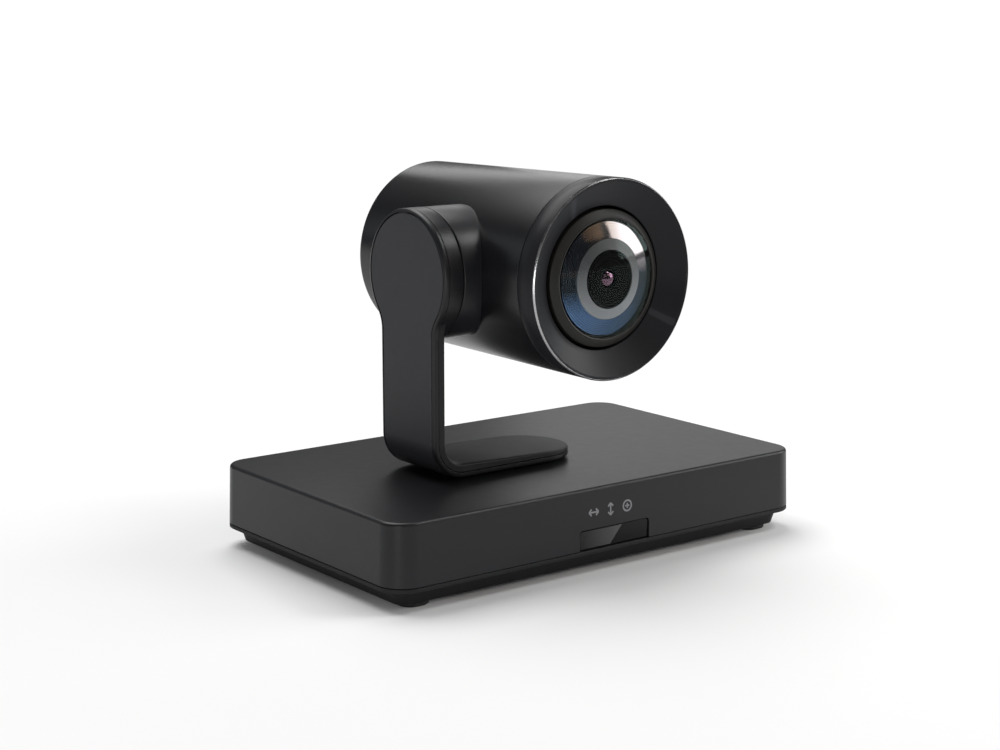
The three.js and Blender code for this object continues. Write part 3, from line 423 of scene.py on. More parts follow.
def pane(name, clear, shine, ior, roughness=0.0):
    """A thin coated optical surface: clear straight through, with a mirror that follows Fresnel over it."""
    n = Nodes(name)
    through = n.add("ShaderNodeBsdfTransparent", Color=tuple(clear) + (1,))
    mirror = n.add("ShaderNodeBsdfGlossy", Color=tuple(shine) + (1,), Roughness=roughness)
    haze = n.bump(n.noise(60, 1), 0.002 * MM, 0.05)
    n.feed(mirror.inputs["Normal"], haze)
    share = n.outward(n.add("ShaderNodeFresnel", IOR=ior).outputs[0])
    mix = n.add("ShaderNodeMixShader")
    n.feed(mix.inputs[0], share)
    n.feed(mix.inputs[1], through.outputs[0])
    n.feed(mix.inputs[2], mirror.outputs[0])
    n.feed(n.output.inputs["Surface"], mix.outputs[0])
    n.tree.nodes.remove(n.shader)
    return n.material


def painted_reflection_coating(name, clear, low_shine, left_shine, right_shine):
    """A coated annulus with fine rings. Its mirror reflects the real lights, but its strength and tint are
    painted by place: a painted bluish reflection below the lens axis, and a stronger painted brown to pale
    pink reflection above it, strongest on the right.
    """
    n = Nodes(name)
    place = n.add("ShaderNodeSeparateXYZ", Vector=n.places)
    height, across = place.outputs["Z"], place.outputs["X"]
    # painted reflection: the mirror share is raised above the lens axis and towards the right by place alone
    upper = n.spread(height, 0, 1, HEAD_Z + 1 * MM, HEAD_Z + 8 * MM)
    right = n.spread(across, 0, 1, -12 * MM, 11 * MM)
    above = n.times(upper, n.spread(right, 0.05, 0.30, 0, 1))
    slant = n.spread(n.add("ShaderNodeLayerWeight").outputs["Facing"], 0.26, 0.03, 0.12, 0.48)
    below = n.times(n.spread(height, 1, 0, HEAD_Z - 16 * MM, HEAD_Z - 4 * MM), slant)
    both = n.add("ShaderNodeMath", operation="ADD")
    n.feed(both.inputs[0], above)
    n.feed(both.inputs[1], below)
    centred = n.add("ShaderNodeMapping", Vector=n.places, Location=(0, 0, -HEAD_Z))
    lines = n.add("ShaderNodeTexWave", wave_type="RINGS", rings_direction="Y", Vector=centred.outputs[0],
                  Scale=330.0, Distortion=2.0, Detail=2.0)
    share = n.outward(n.times(both.outputs[0], n.spread(lines.outputs["Fac"], 0.6, 1.15, 0, 1)))
    # painted reflection colour: bluish below the axis, brown on the left to pale pink on the right above it
    sideways = n.spread(across, 0, 1, -8 * MM, 8 * MM)
    high_shine = n.blend(sideways, tuple(left_shine) + (1,), tuple(right_shine) + (1,))
    upwards = n.spread(height, 0, 1, HEAD_Z - 4 * MM, HEAD_Z + 2 * MM)
    shine = n.blend(upwards, tuple(low_shine) + (1,), high_shine)
    through = n.add("ShaderNodeBsdfTransparent", Color=tuple(clear) + (1,))
    mirror = n.add("ShaderNodeBsdfGlossy", Color=shine, Roughness=0.10)
    n.feed(mirror.inputs["Normal"], n.bump(n.noise(60, 1), 0.002 * MM, 0.05))
    mix = n.add("ShaderNodeMixShader")
    n.feed(mix.inputs[0], share)
    n.feed(mix.inputs[1], through.outputs[0])
    n.feed(mix.inputs[2], mirror.outputs[0])
    n.feed(n.output.inputs["Surface"], mix.outputs[0])
    n.tree.nodes.remove(n.shader)
    return n.material


def tinted_filter(name, dark, pale, from_x, to_x):
    """A smoked filter that grows paler from from_x to to_x."""
    n = Nodes(name)
    across = n.add("ShaderNodeSeparateXYZ", Vector=n.places).outputs["X"]
    colour = n.blend(n.spread(across, 0, 1, from_x, to_x), grey(dark), grey(pale))
    smears = n.noise(45, 5, 0.7)
    return n.finish(Base_Color=colour, Roughness=n.spread(smears, 0.12, 0.2), Specular_IOR_Level=0.3)


MATERIALS = {
    "housing": moulded("housing_satin_black", 0.010, 0.36, depth=0.008),
    "arm_inner": moulded("arm_frame_satin_black", 0.008, 0.52),
    "rim": metal("bezel_rim_polished", (0.42, 0.42, 0.43), 0.26),
    "cover": moulded("cover_satin_black", 0.021, 0.50),
    "plate": moulded("plate_matte_black", 0.007, 0.62, grain=0.8, depth=0.02),
    "barrel": moulded("barrel_satin_black", 0.008, 0.27, depth=0.006, wear=0.05, share=0.1),
    "bezel": moulded("bezel_satin_black", 0.013, 0.36, grain=0.8, depth=0.002, wear=0.8, specular=0.14),
    "cell": moulded("lens_cell_black", 0.009, 0.46, grain=0.2, depth=0.003, wear=0.2, tint=(1.1, 1.0, 0.85)),
    # the grey ring's side below the lens axis is painted five times paler: painted light from below
    "inner_ring": moulded("lens_ring_grey", 0.045, 0.42, grain=0.2, depth=0.003, wear=0.2,
                          tint=(0.92, 0.98, 1.08),
                          painted_light_below=5.0),
    "groove_ring": moulded("lens_groove_black", 0.006, 0.30, grain=0.5, depth=0.002, wear=0.2, specular=0.3,
                           tint=(0.8, 0.95, 1.3)),
    "inner_barrel": moulded("lens_barrel_black", 0.002, 0.50, grain=0.5, depth=0.0003, wear=0.2,
                            specular=0.03),
    "chip": moulded("chip_black_resin", 0.012, 0.45, grain=0.3, depth=0.01, wear=0.2),
    "port_black": moulded("port_black_resin", 0.014, 0.4, grain=0.5, depth=0.01),
    "rubber": rubber("foot_black_rubber", 0.010),
    "window": glazed("smoked_window_gloss", 0.003, 0.04),
    "window_filter": tinted_filter("window_filter_smoked", 0.006, 0.075, -17 * MM, 6 * MM),
    "steel": metal("plated_steel_satin", (0.56, 0.57, 0.58), 0.3),
    "dark_steel": metal("blackened_steel", (0.06, 0.06, 0.065), 0.4),
    "aluminium": metal("aluminium_extruded", (0.66, 0.67, 0.69), 0.38),
    "brass": metal("brass_turned", (0.72, 0.53, 0.22), 0.3),
    "gold": metal("contact_gold", (0.85, 0.62, 0.25), 0.25),
    "board": circuit("board_green_mask", (0.012, 0.09, 0.035)),
    "acetal": plain_resin("acetal_white", (0.76, 0.74, 0.67), 0.45, 0.1),
    "lamp": plain_resin("lamp_diffuser", (0.62, 0.70, 0.60), 0.25, 0.2),
    "print": plain_resin("printed_mark_grey", (0.22, 0.225, 0.235), 0.5),
    "ribbon": ribbon("ribbon_amber", (0.52, 0.20, 0.04)),
    "glass_outer": pane("glass_outer_coated", (1, 1, 1), (0.75, 1.0, 0.96), 1.16),
    "glass_inner": pane("glass_inner_coated", (0.97, 0.97, 0.95), (1.0, 0.80, 0.62), 1.12),
    # coated element whose reflections are painted by place: bluish below the axis, brown to pale pink above
    # it
    "glass_painted_reflection": painted_reflection_coating("coated_glass_painted_reflection", (0.9, 0.95, 1.0), (0.24, 0.47, 0.95),
                                 (0.70, 0.48, 0.32),
                                 (1.0, 0.90, 0.95)),
    "glass_violet": pane("glass_violet_coated", (0.25, 0.12, 0.3), (1.0, 0.62, 0.88), 2.0),
    "glass_clear": pane("glass_clear", (0.95, 0.97, 1.0), (0.9, 0.95, 1.0), 1.5),
}


def dress(piece, *keys):
    piece.data.materials.clear()
    for key in keys:
        piece.data.materials.append(MATERIALS[key])


def settle(piece, body, keys, replaces=()):
    """Gives a finished piece its materials, the body it rides on and the nodes it stands for."""
    if keys:
        dress(piece, *keys)
    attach(piece, body)
    if replaces:
        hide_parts(*replaces)


# ---- camera -----------------------------------------------------------------------------------------
def add_camera():
    place = Vector((-559.83, -719.08, 255.66)) * MM
    target = Vector((-0.45, 9.6, 77.6)) * MM
    lens = bpy.data.cameras.new("studio_camera")
    lens.sensor_width = 36.0
    lens.lens = 69.79
    lens.clip_start = 0.01
    lens.clip_end = 50
    camera = bpy.data.objects.new("studio_camera", lens)
    camera.location = place
    camera.rotation_euler = (target - place).to_track_quat("-Z", "Y").to_euler()
    bpy.context.scene.collection.objects.link(camera)
    bpy.context.scene.camera = camera


# ---- base -------------------------------------------------------------------------------------------
def base_outline(inset):
    radius = max(BASE_CORNER - inset, 1 * MM)
    return rounded_rect(BASE_HALF_X - inset, BASE_HALF_Y - inset, radius)


def drafted(rim):
    """Rim pairs given at the top's size, spread outwards by the walls' draft further down."""
    return [(inset - BASE_DRAFT * (BASE_TOP - z), z) for inset, z in rim]


def window_cutter(grow, front, back, corner=1.6 * MM):
    """The window's opening: square at the bottom, where it meets the parting line, and round at the top."""
    low_x, high_x = WINDOW_LOW.x - grow, WINDOW_HIGH.x + grow
    top = WINDOW_HIGH.z + grow

    def outline(inset):
        left, right, high = low_x + inset, high_x - inset, top - inset
        bottom = PARTING_Z - MM if grow > 0 else WINDOW_LOW.z + inset
        points = [(left, bottom), (right, bottom)]
        for centre_x, start in ((right - corner, 0), (left + corner, math.pi / 2)):
            for step in range(7):
                angle = start + step / 6 * math.pi / 2
                points.append((centre_x + corner * math.cos(angle), high - corner + corner * math.sin(angle)))
        return points

    rim = [(0, front), (0, back)] if grow > 0 else rounded_rim(front, back, 0.25 * MM, 0.1 * MM)
    return slab("window_cutter", outline, rim, on_y)


PORTS = {"dc_jack": 1.2, "usb_port": 0.8, "hdmi_port": 0.8, "lan_port": 0.8, "serial_port": 1.2}


def port_cutters():
    """Holes in the rear wall round each socket."""
    cutters = []
    for node, corner in PORTS.items():
        low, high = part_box(node)
        margin = 0.4 * MM
        cutters.append(rect_slab(
            node + "_cutter",
            (low.x - margin, high.y - 2 * WALL, low.z - margin),
            (high.x + margin, high.y + 2 * WALL, high.z + margin),
            "Y", corner * MM, 0.01 * MM,
        ))
    return cutters


def add_base_housing():
    outer_rim = [(0.2 * MM, PARTING_Z), (0, PARTING_Z + 0.2 * MM)]
    for step in range(7):
        angle = math.pi / 2 * step / 6
        outer_rim.append((TOP_EDGE * (1 - math.cos(angle)), BASE_TOP - TOP_EDGE * (1 - math.sin(angle))))
    outer_rim.append((TOP_EDGE + 0.8 * MM, BASE_TOP))
    housing = slab("base_housing_skin", base_outline, drafted(outer_rim), on_z)
    hollow_rim = [(WALL, PARTING_Z - MM), (WALL, BASE_TOP - 3 * MM)]
    cutters = [slab("hollow", base_outline, drafted(hollow_rim), on_z)]
    cutters.append(window_cutter(HAIR, -BASE_HALF_Y - 10 * MM, -BASE_HALF_Y + 2 * WALL))
    cutters += port_cutters()
    cutters.append(rect_slab(
        "lock_slot", (-94 * MM, BASE_HALF_Y - 2 * WALL, 17 * MM), (-87 * MM, BASE_HALF_Y + 5 * MM, 20 * MM),
        "Y", 1.4 * MM, 0.01 * MM,
    ))
    collar = [(0, BASE_TOP - 10 * MM), (15 * MM, BASE_TOP - 10 * MM),
              (15 * MM, BASE_TOP + MM), (0, BASE_TOP + MM)]
    cutters.append(lathe("pan_hole", collar, "Z", (0, PAN_Y), 72))
    combine(housing, cutters)
    soften(housing, 0.22 * MM)
    settle(housing, "base", ["housing"], ["base_housing"])


def add_base_plate():
    lip_low, lip_high = 9.35 * MM, PARTING_Z - 0.25 * MM
    plinth_low = 2.2 * MM
    rim = [(9.2 * MM, plinth_low), (7.9 * MM, plinth_low), (7.65 * MM, plinth_low + 0.25 * MM)]
    rim += [(5.3 * MM, lip_low - 0.2 * MM), (4.9 * MM, lip_low),
            (0.35 * MM, lip_low), (0.05 * MM, lip_low + 0.25 * MM)]
    rim += [(0.05 * MM, lip_high - 0.2 * MM), (0.25 * MM, lip_high)]
    plate = slab("base_plate_skin", base_outline, drafted(rim), on_z)
    seat_low, seat_r = PLATE_LOW.z, 16 * MM
    seat = filleted([(0, 3 * MM), (seat_r, 3 * MM), (seat_r, seat_low, 0.3 * MM), (0, seat_low)], 3)
    combine(plate, [lathe("tripod_seat", seat, "Z", (0, PAN_Y), 96)], "UNION")
    cutters = []
    for x in (-84, 84):
        for y in (-56, 56):
            hole = [(0, 0), (3.2 * MM, 0), (3.2 * MM, 4.5 * MM),
                    (1.8 * MM, 4.5 * MM), (1.8 * MM, 13 * MM), (0, 13 * MM)]
            cutters.append(lathe("screw_hole", hole, "Z", (x * MM, y * MM), 32))
    bore = [(0, 0), (6.3 * MM, 0), (6.3 * MM, 11 * MM), (0, 11 * MM)]
    cutters.append(lathe("insert_bore", bore, "Z", (0, PAN_Y), 48))
    for row in range(2):
        for column in range(11):
            x = (-60 + 12 * column) * MM
            y = (28 + 14 * row) * MM
            cutters.append(rect_slab(
                "vent", (x - 1.1 * MM, y - 5 * MM, 0), (x + 1.1 * MM, y + 5 * MM, 5 * MM),
                "Z", MM, 0.01 * MM, 4,
            ))
    combine(plate, cutters)
    soften(plate, 0.15 * MM, 1)
    settle(plate, "base", ["plate"], ["base_plate"])


def add_feet():
    for node in ("foot_strip_left", "foot_strip_right"):
        low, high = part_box(node)
        strip = rect_slab(node + "_rubber", low, high, "Z", 6 * MM, 0.7 * MM, 10)
        settle(strip, "base", ["rubber"], [node])


def add_window():
    pane_piece = window_cutter(0, WINDOW_LOW.y, WINDOW_HIGH.y)
    pane_piece.name = "ir_window_pane"
    settle(pane_piece, "base", ["window"], ["ir_window"])


def add_window_filter():
    """A paler slanted filter laid into the left part of the window's face."""
    low, high = WINDOW_LOW.z + 0.4 * MM, WINDOW_HIGH.z - 0.4 * MM
    left = WINDOW_LOW.x + 0.4 * MM
    slant_low, slant_high, chamfer = -0.9 * MM, 6.1 * MM, 1.0 * MM
    corners = [
        (left, low), (slant_low, low), (slant_high, high), (left + chamfer, high), (left, high - chamfer),
    ]
    face = WINDOW_LOW.y - 0.03 * MM
    rings = [[(x, y, z) for x, z in corners] for y in (face, face + 0.4 * MM)]
    vertices, faces = skin(rings)
    settle(make_object("ir_window_filter", vertices, faces), "base", ["window_filter"])


def add_printed_mark():
    """Three small pictograms for pan, tilt and zoom, printed above the window."""
    height = 5.6 * MM
    stroke = 0.75 * MM
    wall_z = 28.6 * MM
    face_y = -BASE_HALF_Y - BASE_DRAFT * (BASE_TOP - wall_z)
    work = bmesh.new()

    def bar(x0, z0, x1, z1, width=stroke):
        along = Vector((x1 - x0, 0, z1 - z0)).normalized()
        side = Vector((-along.z, 0, along.x)) * width / 2
        ends = [Vector((x0, 0, z0)) - side, Vector((x1, 0, z1)) - side,
                Vector((x1, 0, z1)) + side, Vector((x0, 0, z0)) + side]
        work.faces.new([work.verts.new(p) for p in ends])

    def arrow(centre, direction):
        half = height / 2
        head = 1.5 * MM
        d = Vector(direction)
        side = Vector((-d.y, d.x))
        tail, tip = centre - d * half, centre + d * half
        bar(tail.x + d.x * stroke, tail.y + d.y * stroke, tip.x - d.x * stroke, tip.y - d.y * stroke)
        for end, sign in ((tip, -1), (tail, 1)):
            for turn in (-1, 1):
                back = end + d * head * sign + side * head * turn
                bar(end.x, end.y, back.x, back.y)

    arrow(Vector((-11 * MM, 0)), (1, 0))
    arrow(Vector((-1 * MM, 0)), (0, 1))
    steps = 40
    outer, inner = height / 2, height / 2 - stroke
    centre_x = 9 * MM
    rings = [
        [work.verts.new((centre_x + r * math.cos(2 * math.pi * i / steps), 0,
                         r * math.sin(2 * math.pi * i / steps)))
         for i in range(steps)]
        for r in (outer, inner)
    ]
    for i in range(steps):
        j = (i + 1) % steps
        work.faces.new((rings[0][i], rings[0][j], rings[1][j], rings[1][i]))
    bar(centre_x - 1.2 * MM, 0, centre_x + 1.2 * MM, 0)
    bar(centre_x, -1.2 * MM, centre_x, 1.2 * MM)
    thickness = 0.05 * MM
    bmesh.ops.recalc_face_normals(work, faces=work.faces)
    grown = bmesh.ops.extrude_face_region(work, geom=list(work.faces))
    moved = [v for v in grown["geom"] if isinstance(v, bmesh.types.BMVert)]
    bmesh.ops.translate(work, verts=moved, vec=(0, thickness, 0))
    for vert in work.verts:
        x, y, z = vert.co
        vert.co = (x, face_y - thickness + y + z * BASE_DRAFT, wall_z + z)
    mesh = bpy.data.meshes.new("printed_mark")
    work.to_mesh(mesh)
    work.free()
    mark = bpy.data.objects.new("printed_mark", mesh)
    bpy.context.scene.collection.objects.link(mark)
    close_up(mark)
    settle(mark, "base", ["print"])


# ---- arm --------------------------------------------------------------------------------------------
ARM_OUTER_X = SHELL_LOW.x
ARM_BOTTOM = SHELL_LOW.z
ARM_HALF = 21 * MM
ARM_DISC = (SHELL_HIGH.y - SHELL_LOW.y) / 2
ARM_NECK = 14 * MM
ARM_BEND = 17 * MM
ARM_THICKNESS = 7 * MM
SHELL_DEPTH = 2.6 * MM
COVER_DEPTH = 1.3 * MM
RIM_WIDTH = 2.1 * MM
BEND_X = ARM_OUTER_X + ARM_BEND
BEND_Z = ARM_BOTTOM + ARM_BEND
BEND_LENGTH = ARM_BEND * math.pi / 2
TONGUE_TIP = BEND_LENGTH + SHELL_HIGH.x - BEND_X
HEAD_RUN = BEND_Z - HEAD_Z
TIP_DEPTH = 4.7 * MM


def bent(run, across, depth):
    """The arm as a strip: run is the way down its skin from the bend's start, depth goes inwards."""
    if run <= 0:
        return (ARM_OUTER_X + depth, PAN_Y + across, BEND_Z - run)
    if run >= BEND_LENGTH:
        return (BEND_X + run - BEND_LENGTH, PAN_Y + across, ARM_BOTTOM + depth)
    angle = run / ARM_BEND
    radius = ARM_BEND - depth
    return (BEND_X - radius * math.cos(angle), PAN_Y + across, BEND_Z - radius * math.sin(angle))


def arm_outline(inset, end_run=TONGUE_TIP, end_power=1.0, end_reach=None):
    """The flat strip's outline: a disc, a neck, a straight run and an end that is round or nearly square."""
    disc, half, neck = ARM_DISC - inset, ARM_HALF - inset, ARM_NECK + inset
    drop = math.sqrt((disc + neck) ** 2 - (half + neck) ** 2)
    lean = math.atan2(half + neck, drop)
    reach = half if end_reach is None else end_reach
    tail = end_run - inset - reach
    steps = 28
    end = []
    for step in range(steps + 1):
        angle = math.pi * (step / steps - 0.5)
        c, s = math.cos(angle), math.sin(angle)
        end.append((tail + reach * abs(c) ** end_power, half * math.copysign(abs(s) ** end_power, s)))
    side = []
    for step in range(9):
        angle = -math.pi / 2 - (math.pi / 2 - lean) * step / 8
        side.append((HEAD_RUN + drop + neck * math.cos(angle), half + neck + neck * math.sin(angle)))
    disc_steps = 56
    top = []
    for step in range(1, disc_steps):
        angle = lean + (2 * math.pi - 2 * lean) * step / disc_steps
        top.append((HEAD_RUN + disc * math.cos(angle), disc * math.sin(angle)))
    mirrored = [(run, -across) for run, across in reversed(side)]
    return end + side + top + mirrored


def flat_strip(name, rings, shape):
    """A strip built flat from rings, sliced across the bend and then bent by shape."""
    vertices, faces = skin(rings)
    piece = make_object(name, vertices, faces)
    work = bmesh.new()
    work.from_mesh(piece.data)
    slices = 22
    for i in range(slices + 1):
        everything = list(work.verts) + list(work.edges) + list(work.faces)
        place = (BEND_LENGTH * i / slices, 0, 0)
        bmesh.ops.bisect_plane(work, geom=everything, plane_co=place, plane_no=(1, 0, 0), dist=1e-7)
    for i in range(1, 9):
        everything = list(work.verts) + list(work.edges) + list(work.faces)
        place = (BEND_LENGTH + (TONGUE_TIP - BEND_LENGTH) * i / 10, 0, 0)
        bmesh.ops.bisect_plane(work, geom=everything, plane_co=place, plane_no=(1, 0, 0), dist=1e-7)
    for vert in work.verts:
        vert.co = shape(*vert.co)
    work.to_mesh(piece.data)
    work.free()
    close_up(piece, 45)
    weigh_normals(piece)
    return piece


COVER_END = BEND_LENGTH + 12 * MM


def cover_outline(inset):
    return arm_outline(inset, COVER_END + inset, 0.35, 5 * MM)


def ring_at(outline, inset, depth):
    return [(run, across, depth) for run, across in outline(inset)]


def add_arm_cover():
    rim = rounded_rim(0.02 * MM, COVER_DEPTH, 0.3 * MM, 0.05 * MM, 3)
    rim.insert(0, (1.2 * MM, rim[0][1]))
    rings = [ring_at(cover_outline, RIM_WIDTH + inset, depth) for inset, depth in rim]
    settle(flat_strip("arm_cover_plate", rings, bent), "arm", ["cover"], ["arm_cover"])


def add_arm_shell():
    pocket = RIM_WIDTH - 0.5 * MM
    rings = [ring_at(cover_outline, pocket, COVER_DEPTH + 0.3 * MM),
             ring_at(cover_outline, pocket, 0.25 * MM)]
    rings.append(ring_at(cover_outline, pocket - 0.08 * MM, 0.08 * MM))
    edge = 1.5 * MM
    for inset, depth in rounded_rim(0, SHELL_DEPTH, edge, 0.12 * MM, 5):
        rings.append(ring_at(arm_outline, inset, depth))
    settle(flat_strip("arm_shell_skin", rings, bent), "arm", ["housing"], ["arm_shell"])


def tongue_shaped(run, across, depth):
    """Like bent, with the tongue growing thinner towards its tip."""
    share = min(max((run - BEND_LENGTH) / (TONGUE_TIP - BEND_LENGTH), 0), 1)
    start = SHELL_DEPTH + HAIR
    full = (ARM_THICKNESS - start) * (1 - share) + (TIP_DEPTH - start) * share
    return bent(run, across, start + (depth - start) * full / (ARM_THICKNESS - start))


def add_arm_frame():
    low, high = SHELL_DEPTH + HAIR, ARM_THICKNESS
    rings = [ring_at(arm_outline, 0.35 * MM, low), ring_at(arm_outline, 0.2 * MM, low + 0.15 * MM)]
    wide, tall = 1.8 * MM, 1.1 * MM
    for step in range(7):
        angle = math.pi / 2 * step / 6
        inset = 0.2 * MM + wide * (1 - math.cos(angle))
        rings.append(ring_at(arm_outline, inset, high - 0.3 * MM - tall * (1 - math.sin(angle))))
    for inset, lift in ((5, 0.10), (9, 0.2), (13, 0.26), (17, 0.29)):
        rings.append(ring_at(arm_outline, inset * MM, high - 0.3 * MM + lift * MM))
    strip = flat_strip("arm_frame_strip", rings, tongue_shaped)
    settle(strip, "arm", ["arm_inner"], ["arm_frame"])
    start, end = ARM_OUTER_X + SHELL_DEPTH + 0.25 * MM, ARM_OUTER_X + 10.1 * MM
    profile = filleted([
        (9 * MM, start), (ARM_DISC - 0.05 * MM, start, 0.2 * MM),
        (ARM_DISC - 0.05 * MM, end, 0.35 * MM), (9 * MM, end),
    ])
    boss = lathe("arm_frame_boss", profile, "X", TILT_AXIS)
    settle(boss, "arm", ["housing"])


# ---- head -------------------------------------------------------------------------------------------
def barrel_radius(y):
    return REAR_R + (FRONT_R - REAR_R) * (REAR_Y - y) / (REAR_Y - FRONT_Y)


def add_head_shell():
    front, rear = barrel_radius(SEAM_Y), barrel_radius(REAR_Y)
    inner = 2.2 * MM
    panel = 38.5 * MM
    profile = filleted([
        (front - inner, SEAM_Y), (front, SEAM_Y, 0.2 * MM),
        (rear, REAR_Y, 3.4 * MM), (panel, REAR_Y, 0.3 * MM),
        (panel, REAR_Y - 2 * MM), (panel - 2.5 * MM, REAR_Y - 2 * MM), (panel - 2.5 * MM, REAR_Y - 4 * MM),
        (rear - inner, REAR_Y - 4 * MM),
    ], 8)
    settle(lathe("head_barrel", profile, "Y", HEAD_AXIS), "head", ["barrel"], ["head_shell"])
    edge = 38.2 * MM
    face = REAR_Y - 0.15 * MM
    cap = filleted([
        (0, face - 1.5 * MM), (edge, face - 1.5 * MM), (edge, face, 0.5 * MM), (33 * MM, face, 0.3 * MM),
        (32.4 * MM, face - 0.5 * MM, 0.3 * MM), (0, face - 0.5 * MM),
    ])
    settle(lathe("rear_cap_disc", cap, "Y", HEAD_AXIS), "head", ["barrel"], ["rear_cap"])


def add_tilt_hub():
    """The hub runs into the barrel, so its far end follows the barrel's surface."""
    start, bore, floor = HUB_LOW.x, 12.3 * MM, -50.2 * MM
    rims = [(bore, start), (HUB_R - 0.6 * MM, start)]
    rims += [(HUB_R - 0.6 * MM * (1 - math.sin(a)), start + 0.6 * MM * (1 - math.cos(a)))
             for a in (math.pi / 8 * k for k in range(1, 5))]
    rings = [[around(r, x, 2 * math.pi * i / FINE, "X", TILT_AXIS) for i in range(FINE)] for r, x in rims]
    for radius in (HUB_R, HUB_R - WALL):
        ring = []
        for i in range(FINE):
            _, y, z = around(radius, 0, 2 * math.pi * i / FINE, "X", TILT_AXIS)
            reach = barrel_radius(y) - 0.2 * MM
            ring.append((-math.sqrt(reach ** 2 - (z - HEAD_Z) ** 2), y, z))
        rings.append(ring)
    for radius in (HUB_R - WALL, bore):
        rings.append([around(radius, floor, 2 * math.pi * i / FINE, "X", TILT_AXIS) for i in range(FINE)])
    vertices, faces = skin(rings, closed=True)
    hub = make_object("tilt_hub_skin", vertices, faces)
    settle(hub, "head", ["housing"], ["tilt_hub"])


def add_front_bezel():
    back = SEAM_Y - 0.3 * MM
    inner, inner_y = 32.5 * MM, -65.3 * MM
    lip = FRONT_R - 1.3 * MM
    cone_y = FRONT_Y + 0.35 * MM
    profile = filleted([
        (inner + 4 * MM, back), (barrel_radius(back), back, 0.2 * MM),
        (FRONT_R - 0.04 * MM, FRONT_Y + 0.70 * MM),
        (FRONT_R - 0.62 * MM, FRONT_Y + 0.04 * MM), (lip, FRONT_Y + 0.1 * MM, 0.1 * MM),
        (lip - 0.2 * MM, cone_y),
    ], 3)
    ridges = 24
    outer = lip - 0.6 * MM
    pitch = (outer - inner - 0.9 * MM) / ridges
    slope = (inner_y - cone_y) / (outer - inner)
    height = 0.07 * MM
    for i in range(ridges):
        radius = outer - i * pitch
        y = cone_y + (outer - radius) * slope
        profile += [(radius, y), (radius - 0.5 * pitch, y + 0.5 * pitch * slope + height)]
    profile += filleted([(inner + 0.9 * MM, inner_y - 0.9 * MM * slope),
                         (inner, inner_y, 0.25 * MM), (inner, inner_y + 2 * MM)], 3)
    bezel = lathe("front_bezel_cone", profile, "Y", HEAD_AXIS, 192, 50)
    settle(bezel, "head", ["bezel"], ["front_bezel"])
    rim = filleted([
        (FRONT_R - 0.10 * MM, FRONT_Y + 0.80 * MM), (FRONT_R, FRONT_Y + 0.74 * MM, 0.1 * MM),
        (FRONT_R - 0.64 * MM, FRONT_Y, 0.1 * MM), (FRONT_R - 0.75 * MM, FRONT_Y + 0.10 * MM),
    ], 3)
    settle(lathe("front_bezel_rim", rim, "Y", HEAD_AXIS, 192), "head", ["rim"])


GLASS_R = 26.8 * MM
GLASS_EDGE_Y = -68.3 * MM
GLASS_SPHERE = 80 * MM


def dome(radius, depth=0.0, sphere=GLASS_SPHERE):
    centre = GLASS_EDGE_Y + math.sqrt(GLASS_SPHERE ** 2 - GLASS_R ** 2)
    return centre - math.sqrt((sphere - depth) ** 2 - radius ** 2)


def add_lens_cell():
    block = 20.3 * MM
    cell = filleted([
        (block, -46 * MM), (block, -58.5 * MM), (24.8 * MM, -62 * MM),
        (24.8 * MM, -64.5 * MM), (27.0 * MM, -64.5 * MM),
        (27.0 * MM, -68.1 * MM, 0.1 * MM), (27.6 * MM, -68.3 * MM, 0.15 * MM),
        (27.9 * MM, -67.9 * MM, 0.1 * MM),
        (28.2 * MM, -67.9 * MM, 0.1 * MM), (31.2 * MM, -66.1 * MM, 0.8 * MM),
        (31.2 * MM, -60.2 * MM), (21 * MM, -50 * MM), (21 * MM, -46 * MM),
    ], 3)
    piece = lathe("lens_cell_ring", cell, "Y", HEAD_AXIS)
    settle(piece, "head", ["cell"], ["lens_front_cell"])


def add_front_glass():
    steps = 20
    thickness = 1.4 * MM
    radii = [GLASS_R * i / steps for i in range(steps + 1)]
    outer = [(r, dome(r)) for r in radii]
    inner = [(r * 0.97, dome(r * 0.97, thickness)) for r in reversed(radii)]
    glass = lathe("front_glass_dome", outer + inner, "Y", HEAD_AXIS, 128, 30)
    dress(glass, "glass_outer", "glass_inner")
    for face in glass.data.polygons:
        towards_front = face.normal.y < 0
        face.material_index = 0 if towards_front else 1
    settle(glass, "head", [], ["front_glass"])


